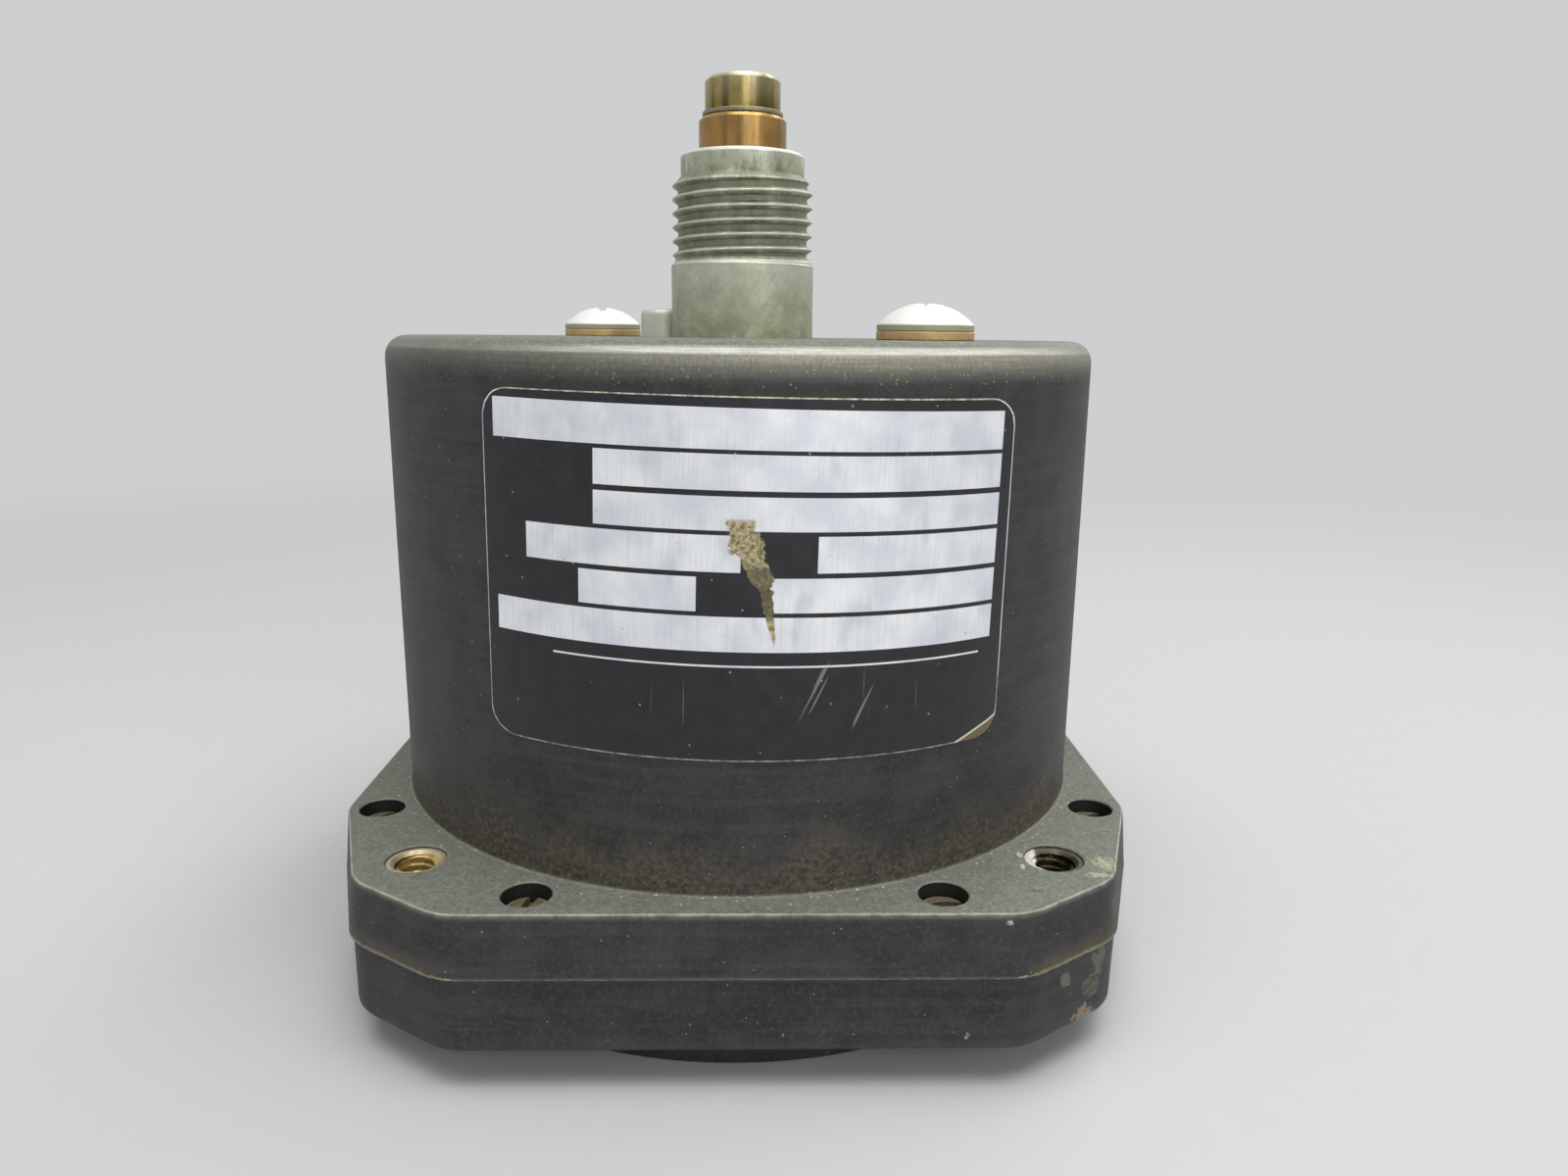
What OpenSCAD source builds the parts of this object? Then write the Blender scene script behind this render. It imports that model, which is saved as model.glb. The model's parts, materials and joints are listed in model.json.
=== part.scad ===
// Aircraft tachometer head of the magnetic drag-cup kind, lying face down.
// The axis is Z: the front lip stands on z = 0 and the drive spindle points up.
// Seen by the pilot the dial's top is towards -Y, and clockwise is a positive turn about Z.

/* [Flange outline] */
// How far the side flats stand out from the barrel
side_margin = 2.9; // [2.4:0.05:3.4]
// How far the front and rear flats stand out from the barrel
end_margin = 3.1; // [2.6:0.05:3.8]
// Length of each side flat
side_flat = 38.8; // [34:0.2:42]
// Length of the front and rear flats
end_flat = 53.2; // [46:0.2:56]
// How far a corner point lies outside its panel screw, across the flange
corner_reach_x = 4.77; // [4.2:0.01:5.4]
// How far a corner point lies outside its panel screw, front to back
corner_reach_y = 4.37; // [4.2:0.01:5.4]
// Rounding of the outline's corners
corner_r = 6.5; // [1:0.5:9]
// Thickness of the case flange
flange_h = 6.2; // [5:0.1:8]
// How far the flange wall leans out by the parting line
flange_draft = 0.6; // [0.1:0.05:0.8]

/* [Case] */
// Diameter of the barrel
case_d = 78.7; // [76:0.1:80]
// Length of the barrel behind the flange
barrel_h = 50; // [47:0.5:60]
// Thickness of the barrel wall
case_wall = 4; // [3.5:0.1:5]
// Thickness of the back wall
back_wall = 4.5; // [3.5:0.1:6]
// Rounding of the back edge
back_edge_r = 2.3; // [0.5:0.1:3.5]

/* [Bezel and glass] */
// Wall of the round lip that enters the panel cut-out
lip_wall = 2.35; // [1.6:0.05:2.8]
// Height of the lip
lip_h = 4; // [3.5:0.1:5]
// Rounding of the lip's front edge
lip_edge_r = 0.3; // [0.2:0.1:1]
// Thickness of the bezel behind the panel
bezel_h = 7.5; // [6.5:0.1:9]
// How far the bezel wall stands in from the flange at the parting line
bezel_step = 0.4; // [0.1:0.05:0.8]
// Rounding of the bezel's front edge
bezel_edge_r = 0.5; // [0.4:0.1:2.2]
// Thickness of the ledge that holds the glass
ledge_t = 2.4; // [1.8:0.1:3]
// Width of the ledge
ledge_w = 2.4; // [1.6:0.1:3]
// Thickness of the seal under the glass
gasket_t = 0.6; // [0.4:0.1:1]
// Thickness of the cover glass
glass_t = 2.4; // [1.6:0.1:3]
// Width of the case's front edge that the spacer ring bears on
glass_seat = 1.05; // [0.7:0.05:1.3]
// Wall of the spacer ring
spacer_w = 2; // [1.4:0.1:2.6]

/* [Panel screws] */
// How far the four panel screws lie outside the barrel
mount_out = 5.1; // [4.6:0.05:5.6]
// Thread diameter of a panel screw
mount_thread_d = 4.2; // [3.4:0.1:4.4]
// Hole for a panel screw in the bezel
mount_clear_d = 4.4; // [4.4:0.1:4.8]
// Diameter of a threaded insert
insert_d = 5.8; // [5.6:0.1:6.2]
// How far an insert lies below the back of the flange
insert_sink = 0.25; // [0.1:0.05:0.6]
// Depth of the countersink in an insert's mouth
insert_mouth = 0.35; // [0.2:0.05:0.5]

/* [Bezel screws] */
// How far the bezel screws lie outside the barrel
bezel_screw_out = 3.8; // [3.4:0.05:4.2]
// Angle of a bezel screw from the middle of its flat
bezel_screw_angle = 26.5; // [24:0.1:28]
// Head diameter of a bezel screw
bezel_head_d = 4.4; // [4.2:0.1:4.8]
// Head height of a bezel screw
bezel_head_h = 2.4; // [1.8:0.1:3]
// Crown of a bezel screw's head
bezel_crown = 0.4; // [0.2:0.05:0.6]
// How far the head lies below the back of the flange
bezel_head_sink = 1.1; // [0.6:0.1:1.5]
// Thread diameter of a bezel screw
bezel_thread_d = 2.8; // [2.2:0.1:3]
// Length of a bezel screw in the bezel
bezel_bite = 5; // [3.5:0.1:5.4]
// Play round a bezel screw's head
bezel_head_play = 0.17; // [0.1:0.01:0.25]

/* [Back screws] */
// Circle of the two back screws
case_screw_pcd = 52.5; // [48:0.5:55]
// Angle of the front back screw, from +X
case_screw_angle = -45; // [-55:1:-35]
// Head diameter of a back screw
case_head_d = 9.75; // [8.5:0.05:10.5]
// Height of the head's dome
case_dome_h = 2.2; // [1.5:0.1:2.8]
// Height of the head's rim
case_rim_h = 0.6; // [0.3:0.1:1]
// Thread diameter of a back screw
case_thread_d = 4.1; // [3.5:0.1:4.8]
// Length of a back screw in the movement frame
case_bite = 6; // [4.5:0.1:7]
// Diameter of the washer under a back screw
washer_d = 9.8; // [9:0.1:11]
// Thickness of that washer
washer_t = 0.86; // [0.5:0.02:1.2]

/* [Data plate] */
// Thickness of the data plate
plate_t = 0.25; // [0.15:0.05:0.4]
// Height of the data plate
plate_h = 32.1; // [26:0.1:34]
// Distance of the data plate below the back
plate_drop = 4.6; // [3.6:0.1:6]
// Half of the angle that the data plate covers
plate_angle = 37.4; // [30:0.1:45]
// Rounding of the data plate's corners
plate_r = 2.5; // [1:0.1:4]
// How far the data plate is turned round the barrel, away from the front
plate_turn = 2.1; // [-5:0.1:5]
// How far the data plate leans
plate_tilt = -0.9; // [-1.5:0.1:1.5]

/* [Drive stem] */
// Diameter of the plain part of the stem
stem_d = 16.2; // [16.2:0.1:17]
// Length of the plain part behind the case
stem_h = 8.1; // [6:0.1:10]
// Thread diameter of the drive coupling
thread_d = 15.875; // [15.3:0.005:15.875]
// Length of the thread
thread_h = 9.4; // [8:0.1:12]
// Diameter of the lead in front of the thread
lead_d = 13.9; // [13:0.1:14.6]
// Length of the lead
lead_h = 2.5; // [1.5:0.1:3.5]
// Chamfer of the lead
lead_chamfer = 0.4; // [0.2:0.1:1]
// Diameter of the stem inside the movement frame
spigot_d = 14; // [12.5:0.1:14.6]
// Diameter of the key lug beside the stem
lug_d = 5.4; // [4:0.1:6]
// Height of the key lug above the back
lug_h = 3.3; // [2:0.1:4]
// Rounding of the key lug's top edge
lug_edge_r = 0.8; // [0.3:0.1:1.5]
// How deep the key lug is set into the stem
lug_bite = 0.4; // [0.2:0.05:1]
// Direction of the key lug
lug_angle = 155; // [145:1:165]

/* [Drive spindle] */
// Diameter of the spindle
spindle_d = 7.4; // [7.2:0.1:7.6]
// Diameter of the spindle's head
spindle_head_d = 8.4; // [7.8:0.1:8.8]
// Height of the head
spindle_head_h = 3.6; // [2.5:0.1:5]
// Chamfer of the head and of the rear bush
spindle_chamfer = 0.5; // [0.2:0.1:0.8]
// Width across the square drive socket
socket_w = 4.8; // [4.4:0.1:5]
// Circle that rounds the socket's corners
socket_corner_d = 6.1; // [5.6:0.1:6.2]
// Depth of the socket
socket_depth = 12; // [8:0.5:15]
// Diameter of the two bushes
bush_d = 9.8; // [9.2:0.1:10.2]
// How far the rear bush stands out of the stem
bush_show = 3.9; // [2.5:0.1:5]
// Length of the rear bush inside the stem
bush_seat = 12; // [8:0.5:14]
// Length of the front bush
front_bush_h = 7.5; // [5:0.5:8]
// Diameter of the thrust washer
thrust_d = 9; // [8.8:0.1:9.6]
// Thickness of the thrust washer
thrust_t = 0.45; // [0.3:0.05:0.7]
// Thickness of the retaining clip
clip_t = 0.8; // [0.5:0.1:0.9]
// Outer diameter of the retaining clip
clip_d = 10.4; // [9.6:0.1:11]
// Depth of the clip's groove
groove_t = 0.5; // [0.3:0.05:0.7]

/* [Movement frame] */
// Thickness of the frame
frame_t = 3.7; // [3:0.1:5]
// Width of the frame's arms
arm_w = 13; // [11:0.5:16]
// Diameter of the frame's middle
frame_mid_d = 38; // [32:0.5:42]
// Height of the boss in the middle
boss_h = 5; // [4:0.1:7]
// Diameter of the boss
boss_d = 22; // [20:0.5:25]
// Diameter of the pilot that centres the field cup
pilot_d = 18; // [16.5:0.1:19]
// Height of the bosses for the back screws
screw_boss_h = 4; // [3.5:0.1:5]
// Circle of the two bridge pillars
pillar_pcd = 48; // [46:0.5:52]
// Diameter of a pillar
pillar_d = 5.2; // [4.5:0.1:6]
// Diameter of a pillar's stud in the frame
pillar_stud_d = 3; // [2.4:0.1:3.4]

/* [Magnet and cups] */
// Diameter of the magnet
magnet_d = 26; // [22:0.5:28]
// Length of the magnet
magnet_h = 9; // [7:0.5:11]
// Diameter of the magnet's hub
magnet_hub_d = 16; // [13:0.5:17]
// Thickness of the hub
magnet_hub_t = 1.8; // [1.2:0.1:2.5]
// Space between the hub and the frame boss
hub_space = 2.1; // [1.9:0.1:3]
// Thickness of the compensator ring
compensator_t = 0.6; // [0.4:0.1:1]
// Diameter of the compensator ring
compensator_d = 22; // [19:0.5:22]
// Air gap on each side of the drag cup's wall
air_gap = 1.2; // [0.6:0.1:1.6]
// Thickness of the drag cup's wall
cup_t = 0.6; // [0.4:0.1:0.8]
// Space between the magnet and the bottom of the drag cup
cup_space = 2; // [1.6:0.1:2.6]
// How far the drag cup and the field cup reach past the magnet's ends
cup_cover = 1.5; // [0.5:0.1:1.5]
// Thickness of the field cup
field_t = 1.5; // [1:0.1:2]

/* [Pointer arbor] */
// Diameter of the arbor
staff_d = 1.6; // [1.2:0.1:2]
// Diameter of the arbor's rear pivot
pivot_d = 0.8; // [0.6:0.05:0.9]
// Length of the pivot in its jewel
pivot_h = 1.6; // [1.2:0.1:1.8]
// Diameter of the rear jewel
rear_jewel_d = 3; // [2.4:0.1:3.4]
// Thickness of the rear jewel
rear_jewel_t = 2.2; // [2.1:0.1:2.8]
// Diameter of the front jewel
front_jewel_d = 4; // [3.4:0.1:5]
// Diameter of the drag cup's hub
cup_hub_d = 6.4; // [5:0.1:8]
// Thickness of the drag cup's hub
cup_hub_t = 2; // [1.5:0.1:3]
// Diameter of the hub's spigot through the cup
cup_spigot_d = 3.2; // [2.6:0.1:4]

/* [Hairspring] */
// Number of turns
spring_turns = 5; // [3:1:6]
// Outer radius of the spiral
spring_r = 9; // [8:0.1:10]
// Thickness of the strip
spring_t = 0.3; // [0.2:0.05:0.4]
// Width of the strip
spring_w = 1.6; // [1:0.1:2]
// Diameter of the collet
collet_d = 4.4; // [3.6:0.1:5]
// Thickness of the collet
collet_t = 2.4; // [2.2:0.1:2.6]
// Diameter of the stud that holds the outer end
stud_d = 1.4; // [1:0.1:2]
// Space between the bridge and the hub of the drag cup
spring_room = 5.9; // [4.6:0.1:8]

/* [Bridge] */
// Thickness of the bridge
bridge_t = 2.2; // [1.6:0.1:3]
// Width of the bridge
bridge_w = 13; // [11:0.5:15]
// Diameter of the bridge's middle
bridge_mid_d = 23; // [22:0.5:24]
// Head diameter of a bridge screw
bridge_head_d = 4.8; // [4:0.1:5.5]
// Head height of a bridge screw
bridge_head_h = 1.6; // [1:0.1:2.2]
// Thread diameter of a bridge screw
bridge_thread_d = 2.4; // [2:0.1:2.8]
// Length of a bridge screw in its pillar
bridge_bite = 4.5; // [3:0.1:6]

/* [Dial and pointer] */
// How far the dial lies behind the front of the case
dial_recess = 3.5; // [2.5:0.1:5]
// Thickness of the dial
dial_t = 0.9; // [0.6:0.1:1.4]
// Play round the dial
dial_play = 0.45; // [0.2:0.05:0.8]
// Circle of the two dial posts
post_pcd = 30; // [28:0.5:34]
// Diameter of a dial post
post_d = 4; // [3.4:0.1:5]
// Head diameter of a dial screw
dial_head_d = 3.4; // [2.8:0.1:4]
// Head height of a dial screw
dial_head_h = 0.8; // [0.5:0.1:1.2]
// Thread diameter of a dial screw and of a post's stud
dial_thread_d = 1.8; // [1.4:0.1:2.2]
// Length of a dial screw in its post
dial_bite = 3.2; // [2.4:0.1:4]
// How far the pointer stands in front of the dial
pointer_rise = 5.4; // [4:0.1:6]
// Thickness of the pointer
pointer_t = 0.6; // [0.4:0.1:0.8]
// Length of the pointer
pointer_l = 27; // [22:0.5:30]
// Width of the pointer at the hub
pointer_w = 3; // [2:0.1:4]
// Length of the pointer's tail
pointer_tail = 9; // [7:0.5:12]
// Diameter of the tail's counterweight
tail_d = 5; // [4:0.1:6]
// Diameter of the pointer's eye
pointer_eye_d = 8; // [7:0.1:10]
// Diameter of the pointer's hub
pointer_hub_d = 4.6; // [4:0.1:6]
// Length of the pointer's hub behind the pointer
pointer_hub_h = 1.8; // [1.2:0.1:2.6]
// Angle from the dial's top down to zero
zero_angle = 131.25; // [120:0.25:140]
// Distance of the zero stop from the axis
stop_out = 14; // [10:0.5:18]
// Diameter of the zero stop
stop_d = 1; // [0.8:0.1:1.4]

/* [Fits] */
// Clearance between pieces that are pressed or seated together
fit_gap = 0.02; // [0.01:0.01:0.04]
// Radial clearance of a running fit
run_gap = 0.05; // [0.02:0.01:0.09]
// End play of the spindle
end_play = 0.05; // [0.03:0.01:0.2]
// Play of a screw in its clearance hole
hole_play = 0.15; // [0.1:0.01:0.2]

/* [Hidden] */
$fn = 64;

// Spare length of a cut, so that no faces coincide
cut = 1;
// Points on each rounded corner of the outline
corner_steps = 5;
// Flats that make up the rounding of the bezel's front edge
edge_steps = 3;
// Points on each turn of the hairspring
turn_steps = 24;

// Heights along the axis, from the front lip to the back of the case
z_panel = lip_h;
z_part = z_panel + bezel_h;
z_flange = z_part + flange_h;
z_back = z_flange + barrel_h;
z_inner = z_back - back_wall;

// Heights of the glass and the dial
z_glass = ledge_t + gasket_t;
z_glass_back = z_glass + glass_t;
z_dial = z_part + dial_recess;
z_pointer = z_dial - pointer_rise;
z_pointer_front = z_pointer - pointer_t;

// Heights of the stem and the spindle
z_thread = z_back + stem_h;
z_lead = z_thread + thread_h;
z_stem_end = z_lead + lead_h;
z_bush_end = z_stem_end + bush_show;
z_thrust = z_bush_end + end_play;
z_head = z_thrust + thrust_t;
z_top = z_head + spindle_head_h;

// Heights of the movement, worked out from the frame towards the dial
z_frame = z_inner - frame_t;
z_boss = z_frame - boss_h;
z_clip = z_boss - end_play - clip_t;
z_hub_back = z_boss - hub_space;
z_hub_front = z_hub_back - magnet_hub_t;
z_magnet_back = z_hub_front - compensator_t;
z_magnet = z_magnet_back - magnet_h;
z_cup_floor = z_magnet - cup_space;
z_cup = z_cup_floor - cup_t;
z_cup_hub = z_cup - cup_hub_t;
z_bridge_back = z_cup_hub - spring_room;
z_bridge = z_bridge_back - bridge_t;
z_spring = z_bridge_back + (spring_room - spring_w) / 2;
z_collet = z_bridge_back + (spring_room - collet_t) / 2;

// Radii and distances from the axis
case_r = case_d / 2;
bore_r = case_r - case_wall;
glass_r = bore_r + glass_seat;
window_r = glass_r - ledge_w;
lip_r = glass_r + hole_play + lip_wall;
dial_r = bore_r - dial_play;
cup_r = magnet_d / 2 + air_gap;
field_r = cup_r + cup_t + air_gap;
lug_out = (stem_d + lug_d) / 2 - lug_bite;

// The outline's corner points in one quarter
flange_x = case_r + side_margin;
flange_y = case_r + end_margin;
mount_r = case_r + mount_out;
mount_c = mount_r / sqrt(2);
quarter = [[flange_x, side_flat / 2], [mount_c + corner_reach_x, mount_c + corner_reach_y],
    [end_flat / 2, flange_y]];
half = concat(quarter, [for (i = [2:-1:0]) [-quarter[i].x, quarter[i].y]]);
outline = rounded(concat(half, [for (p = half) -p]), corner_r);

// Size of the outline, as a factor, at the parting line and on the bezel
part_k = 1 + flange_draft / flange_x;
bezel_k = part_k - bezel_step / flange_x;
// Heights and size factors along the rounding of the bezel's front edge
edge_levels = [for (i = [0:edge_steps]) let (t = 90 * i / edge_steps)
    [z_panel + bezel_edge_r * (1 - cos(t)), bezel_k - bezel_edge_r * (1 - sin(t)) / flange_x]];

// Direction of the bridge, across the line of the back screws
bridge_angle = case_screw_angle + 90;
// Direction of the pointer at zero, from +X
pointer_angle = -90 - zero_angle;
// Angle from the pointer at zero back to the stop that it leans on
stop_angle = asin((pointer_w / 2 + stop_d / 2 + 0.3) / stop_out);

// Unit vector along v
function unit(v) = v / norm(v);

// Arc of radius r that rounds the corner v between its neighbours a and b
function corner_arc(a, v, b, r) =
    let (u = unit(a - v), w = unit(b - v))
    let (opening = acos(u * w) / 2, middle = v + unit(u + w) * r / sin(opening))
    let (start = v + u * r / tan(opening) - middle, sweep = 180 - 2 * opening)
    let (from = atan2(start.y, start.x))
    [for (i = [0:corner_steps]) let (t = from + sweep * i / corner_steps)
        middle + r * [cos(t), sin(t)]];

// A convex outline with every corner rounded
function rounded(points, r) =
    let (n = len(points))
    [for (i = [0:n - 1]) each corner_arc(points[(i + n - 1) % n], points[i], points[(i + 1) % n], r)];

// Point of the hairspring's middle line after a part t of its length, moved out by shift
function spring_point(t, shift) =
    let (r = collet_d / 2 + fit_gap + spring_t / 2 + t * (spring_r - collet_d / 2) + shift)
    r * [cos(t * spring_turns * 360), sin(t * spring_turns * 360)];

// Cylinder from height a to height b
module rod(d, a, b) {
    translate([0, 0, a])
    cylinder(d = d, h = b - a);
}

// Ring from height a to height b
module tube(d, hole, a, b) {
    difference() {
        rod(d, a, b);
        rod(hole, a - cut, b + cut);
    }
}

// Rod from height a to height b with a chamfer at b
module chamfered(d, a, b, c) {
    rod(d, a, b - c);
    translate([0, 0, b - c])
    cylinder(d1 = d, d2 = d - 2 * c, h = c);
}

// Solid with the flange's outline at each level, where a level is a height and a size factor
module loft(levels) {
    n = len(outline);
    top = (len(levels) - 1) * n;
    points = [for (l = levels, p = outline) [p.x * l[1], p.y * l[1], l[0]]];
    sides = [for (row = [0:n:top - n], i = [0:n - 1])
        let (a = row + i, b = row + (i + 1) % n) [a, a + n, b + n, b]];
    polyhedron(points, concat([[for (i = [0:n - 1]) i]], [[for (i = [n - 1:-1:0]) top + i]], sides));
}

// Strip with round ends between two points on the X axis, from height a to height b
module strip(reach, w, a, b) {
    for (s = [-1, 1])
        translate([s * reach, 0, 0]) rod(w, a, b);
    translate([-reach, -w / 2, a])
    cube([2 * reach, w, b - a]);
}

// Places of the panel screws
module at_mounts() {
    for (a = [45:90:315])
        rotate(a) translate([mount_r, 0, 0]) children();
}

// Places of the bezel screws
module at_bezel_screws() {
    for (a = [0:90:270], s = [-1, 1])
        rotate(a + s * bezel_screw_angle) translate([case_r + bezel_screw_out, 0, 0]) children();
}

// Places of a pair on a circle
module at_pair(pcd, angle) {
    for (a = [0, 180])
        rotate(angle + a) translate([pcd / 2, 0, 0]) children();
}

// Key lug of the stem, with a play round it
module lug(a, b, play) {
    rotate(lug_angle) translate([lug_out, 0, 0]) rod(lug_d + 2 * play, a, b);
}

module case() {
    color("#2b2a2e")
    difference() {
        union() {
            loft([[z_part, part_k], [z_flange, 1]]);
            translate([0, 0, z_part])
            rotate_extrude() {
                square([case_r, z_back - back_edge_r - z_part]);
                square([case_r - back_edge_r, z_back - z_part]);
                translate([case_r - back_edge_r, z_back - back_edge_r - z_part]) circle(back_edge_r);
            }
        }
        rod(2 * bore_r, z_part - cut, z_inner);
        rod(stem_d + 2 * run_gap, z_inner - cut, z_back + cut);
        lug(z_inner - cut, z_back + cut, run_gap);
        at_pair(case_screw_pcd, case_screw_angle)
            rod(case_thread_d + 2 * hole_play, z_inner - cut, z_back + cut);
        at_mounts() rod(insert_d + 2 * fit_gap, z_part - cut, z_flange + cut);
        at_bezel_screws() {
            rod(bezel_thread_d + 2 * hole_play, z_part - cut, z_flange + cut);
            rod(bezel_head_d + 2 * bezel_head_play, z_flange - bezel_head_sink - bezel_head_h,
                z_flange + cut);
        }
    }
}

module bezel() {
    color("#222126")
    difference() {
        union() {
            loft(concat(edge_levels, [[z_part, bezel_k]]));
            rotate_extrude() {
                translate([0, lip_edge_r]) square([lip_r, z_panel]);
                square([lip_r - lip_edge_r, z_panel]);
                translate([lip_r - lip_edge_r, lip_edge_r]) circle(lip_edge_r);
            }
        }
        rod(2 * window_r, -cut, z_part);
        rod(2 * glass_r + 2 * hole_play, ledge_t, z_part + cut);
        at_mounts() rod(mount_clear_d, z_panel - cut, z_part + cut);
        at_bezel_screws() rod(bezel_thread_d + 2 * fit_gap, z_part - bezel_bite - fit_gap, z_part + cut);
    }
}

module cover_glass() {
    color("#c8dfe4", 0.4)
    rod(2 * glass_r, z_glass, z_glass_back);
}

module glass_gasket() {
    color("#1b1b1b")
    tube(2 * glass_r, 2 * window_r, ledge_t, z_glass);
}

module spacer_ring() {
    color("#3a3a3c")
    tube(2 * glass_r, 2 * (glass_r - spacer_w), z_glass_back, z_part);
}

module mounting_inserts() {
    color("#b08d4a")
    at_mounts()
    difference() {
        rod(insert_d, z_part, z_flange - insert_sink);
        rod(mount_thread_d, z_part - cut, z_flange);
        translate([0, 0, z_flange - insert_sink - insert_mouth])
        cylinder(d1 = mount_thread_d, d2 = mount_thread_d + 2 * (insert_mouth + cut),
            h = insert_mouth + cut);
    }
}

module bezel_screws() {
    head_top = z_flange - bezel_head_sink;
    color("#8c8a80")
    at_bezel_screws() {
        rod(bezel_thread_d, z_part - bezel_bite, head_top - bezel_head_h);
        rod(bezel_head_d, head_top - bezel_head_h, head_top - bezel_crown);
        dome(bezel_head_d, bezel_crown, head_top - bezel_crown);
    }
}

// Cap of a sphere on a circle of diameter d at height a, h high
module dome(d, h, a) {
    r = (d * d / 4 + h * h) / (2 * h);
    intersection() {
        translate([0, 0, a + h - r]) sphere(r);
        rod(d, a, a + h + cut);
    }
}

module data_plate() {
    half_w = (case_r + plate_t) * sin(plate_angle);
    color("#8d8f90")
    rotate(plate_turn)
    intersection() {
        tube(2 * (case_r + fit_gap + plate_t), 2 * (case_r + fit_gap), z_flange, z_back);
        translate([0, 0, z_back - plate_drop - plate_h / 2])
        rotate([90, 0, 0])
        linear_extrude(height = case_d)
        rotate(plate_tilt) {
            square([2 * (half_w - plate_r), plate_h], center = true);
            square([2 * half_w, plate_h - 2 * plate_r], center = true);
            for (x = [-1, 1], y = [-1, 1])
                translate([x * (half_w - plate_r), y * (plate_h / 2 - plate_r)]) circle(plate_r);
        }
    }
}

module case_screws() {
    seat = z_back + washer_t;
    color("#d8d8d6")
    at_pair(case_screw_pcd, case_screw_angle) {
        rod(case_thread_d, z_inner - case_bite, seat);
        rod(case_head_d, seat, seat + case_rim_h);
        dome(case_head_d, case_dome_h, seat + case_rim_h);
    }
}

module screw_washers() {
    color("#8a6240")
    at_pair(case_screw_pcd, case_screw_angle)
    tube(washer_d, case_thread_d + 2 * hole_play, z_back, z_back + washer_t);
}

// Flat top of the key lug with its rounded edge
module lug_top() {
    translate([0, 0, z_back + lug_h - lug_edge_r])
    rotate_extrude() {
        square([lug_d / 2 - lug_edge_r, lug_edge_r]);
        intersection() {
            translate([lug_d / 2 - lug_edge_r, 0]) circle(lug_edge_r);
            square([lug_d / 2, lug_edge_r]);
        }
    }
}

module drive_neck() {
    color("#9b9a95")
    difference() {
        union() {
            rod(spigot_d, z_boss, z_inner);
            rod(stem_d, z_inner, z_thread);
            rod(thread_d, z_thread, z_lead);
            chamfered(lead_d, z_lead, z_stem_end, lead_chamfer);
            lug(z_inner, z_back + lug_h - lug_edge_r, 0);
            rotate(lug_angle) translate([lug_out, 0, 0]) lug_top();
        }
        rod(spindle_d + 4 * hole_play, z_boss - cut, z_stem_end + cut);
        rod(bush_d + 2 * fit_gap, z_boss - cut, z_boss + front_bush_h);
        rod(bush_d + 2 * fit_gap, z_stem_end - bush_seat, z_stem_end + cut);
    }
}

module movement_frame() {
    color("#8f9092")
    difference() {
        union() {
            rod(frame_mid_d, z_frame, z_inner);
            rotate(case_screw_angle) strip(case_screw_pcd / 2, arm_w, z_frame, z_inner);
            rotate(bridge_angle) strip(pillar_pcd / 2, arm_w, z_frame, z_inner);
            rod(boss_d, z_boss, z_frame);
            rod(pilot_d, z_boss - field_t + fit_gap, z_boss);
            at_pair(case_screw_pcd, case_screw_angle)
                rod(case_thread_d + arm_w / 3, z_frame - screw_boss_h, z_frame);
        }
        rod(spigot_d + 2 * fit_gap, z_boss - field_t - cut, z_inner + cut);
        at_pair(case_screw_pcd, case_screw_angle)
            rod(case_thread_d + 2 * fit_gap, z_inner - case_bite - fit_gap, z_inner + cut);
        at_pair(pillar_pcd, bridge_angle)
            rod(pillar_stud_d + 2 * fit_gap, z_frame - cut, z_inner + cut);
    }
}

module rear_bushing() {
    color("#8d6b3f")
    difference() {
        chamfered(bush_d, z_stem_end - bush_seat, z_bush_end, spindle_chamfer);
        rod(spindle_d + 2 * run_gap, z_stem_end - bush_seat - cut, z_bush_end + cut);
    }
}

module front_bushing() {
    color("#8d6b3f")
    tube(bush_d, spindle_d + 2 * run_gap, z_boss, z_boss + front_bush_h);
}

module thrust_washer() {
    color("#c9ccd0")
    tube(thrust_d, spindle_d + 2 * fit_gap, z_thrust, z_head);
}

module drive_spindle() {
    color("#b8954e")
    difference() {
        union() {
            rod(spindle_d, z_magnet, z_head);
            chamfered(spindle_head_d, z_head, z_top, spindle_chamfer);
        }
        intersection() {
            translate([-socket_w / 2, -socket_w / 2, z_top - socket_depth])
            cube([socket_w, socket_w, socket_depth + cut]);
            rod(socket_corner_d, z_top - socket_depth, z_top + cut);
        }
        tube(spindle_d + cut, spindle_d - 2 * groove_t, z_clip, z_clip + clip_t);
        rod(rear_jewel_d + 2 * fit_gap, z_magnet - cut, z_magnet + rear_jewel_t);
    }
}

module spindle_clip() {
    color("#6f7275")
    difference() {
        tube(clip_d, spindle_d - 2 * groove_t + 2 * fit_gap, z_clip + fit_gap, z_clip + clip_t - fit_gap);
        translate([0, -spindle_d / 2 + groove_t, z_clip - cut])
        cube([clip_d, spindle_d - 2 * groove_t, clip_t + 2 * cut]);
    }
}

module magnet_hub() {
    color("#b9a36a")
    tube(magnet_hub_d, spindle_d + 2 * fit_gap, z_hub_front, z_hub_back);
}

module compensator_ring() {
    color("#7d8488")
    tube(compensator_d, spindle_d + 2 * fit_gap, z_magnet_back, z_hub_front);
}

module magnet() {
    color("#4b4d50")
    tube(magnet_d, spindle_d + 2 * fit_gap, z_magnet, z_magnet_back);
}

module rear_jewel() {
    color("#b0304a")
    difference() {
        rod(rear_jewel_d, z_magnet, z_magnet + rear_jewel_t - fit_gap);
        rod(pivot_d + 2 * run_gap, z_magnet - cut, z_magnet + pivot_h + 2 * end_play);
    }
}

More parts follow.
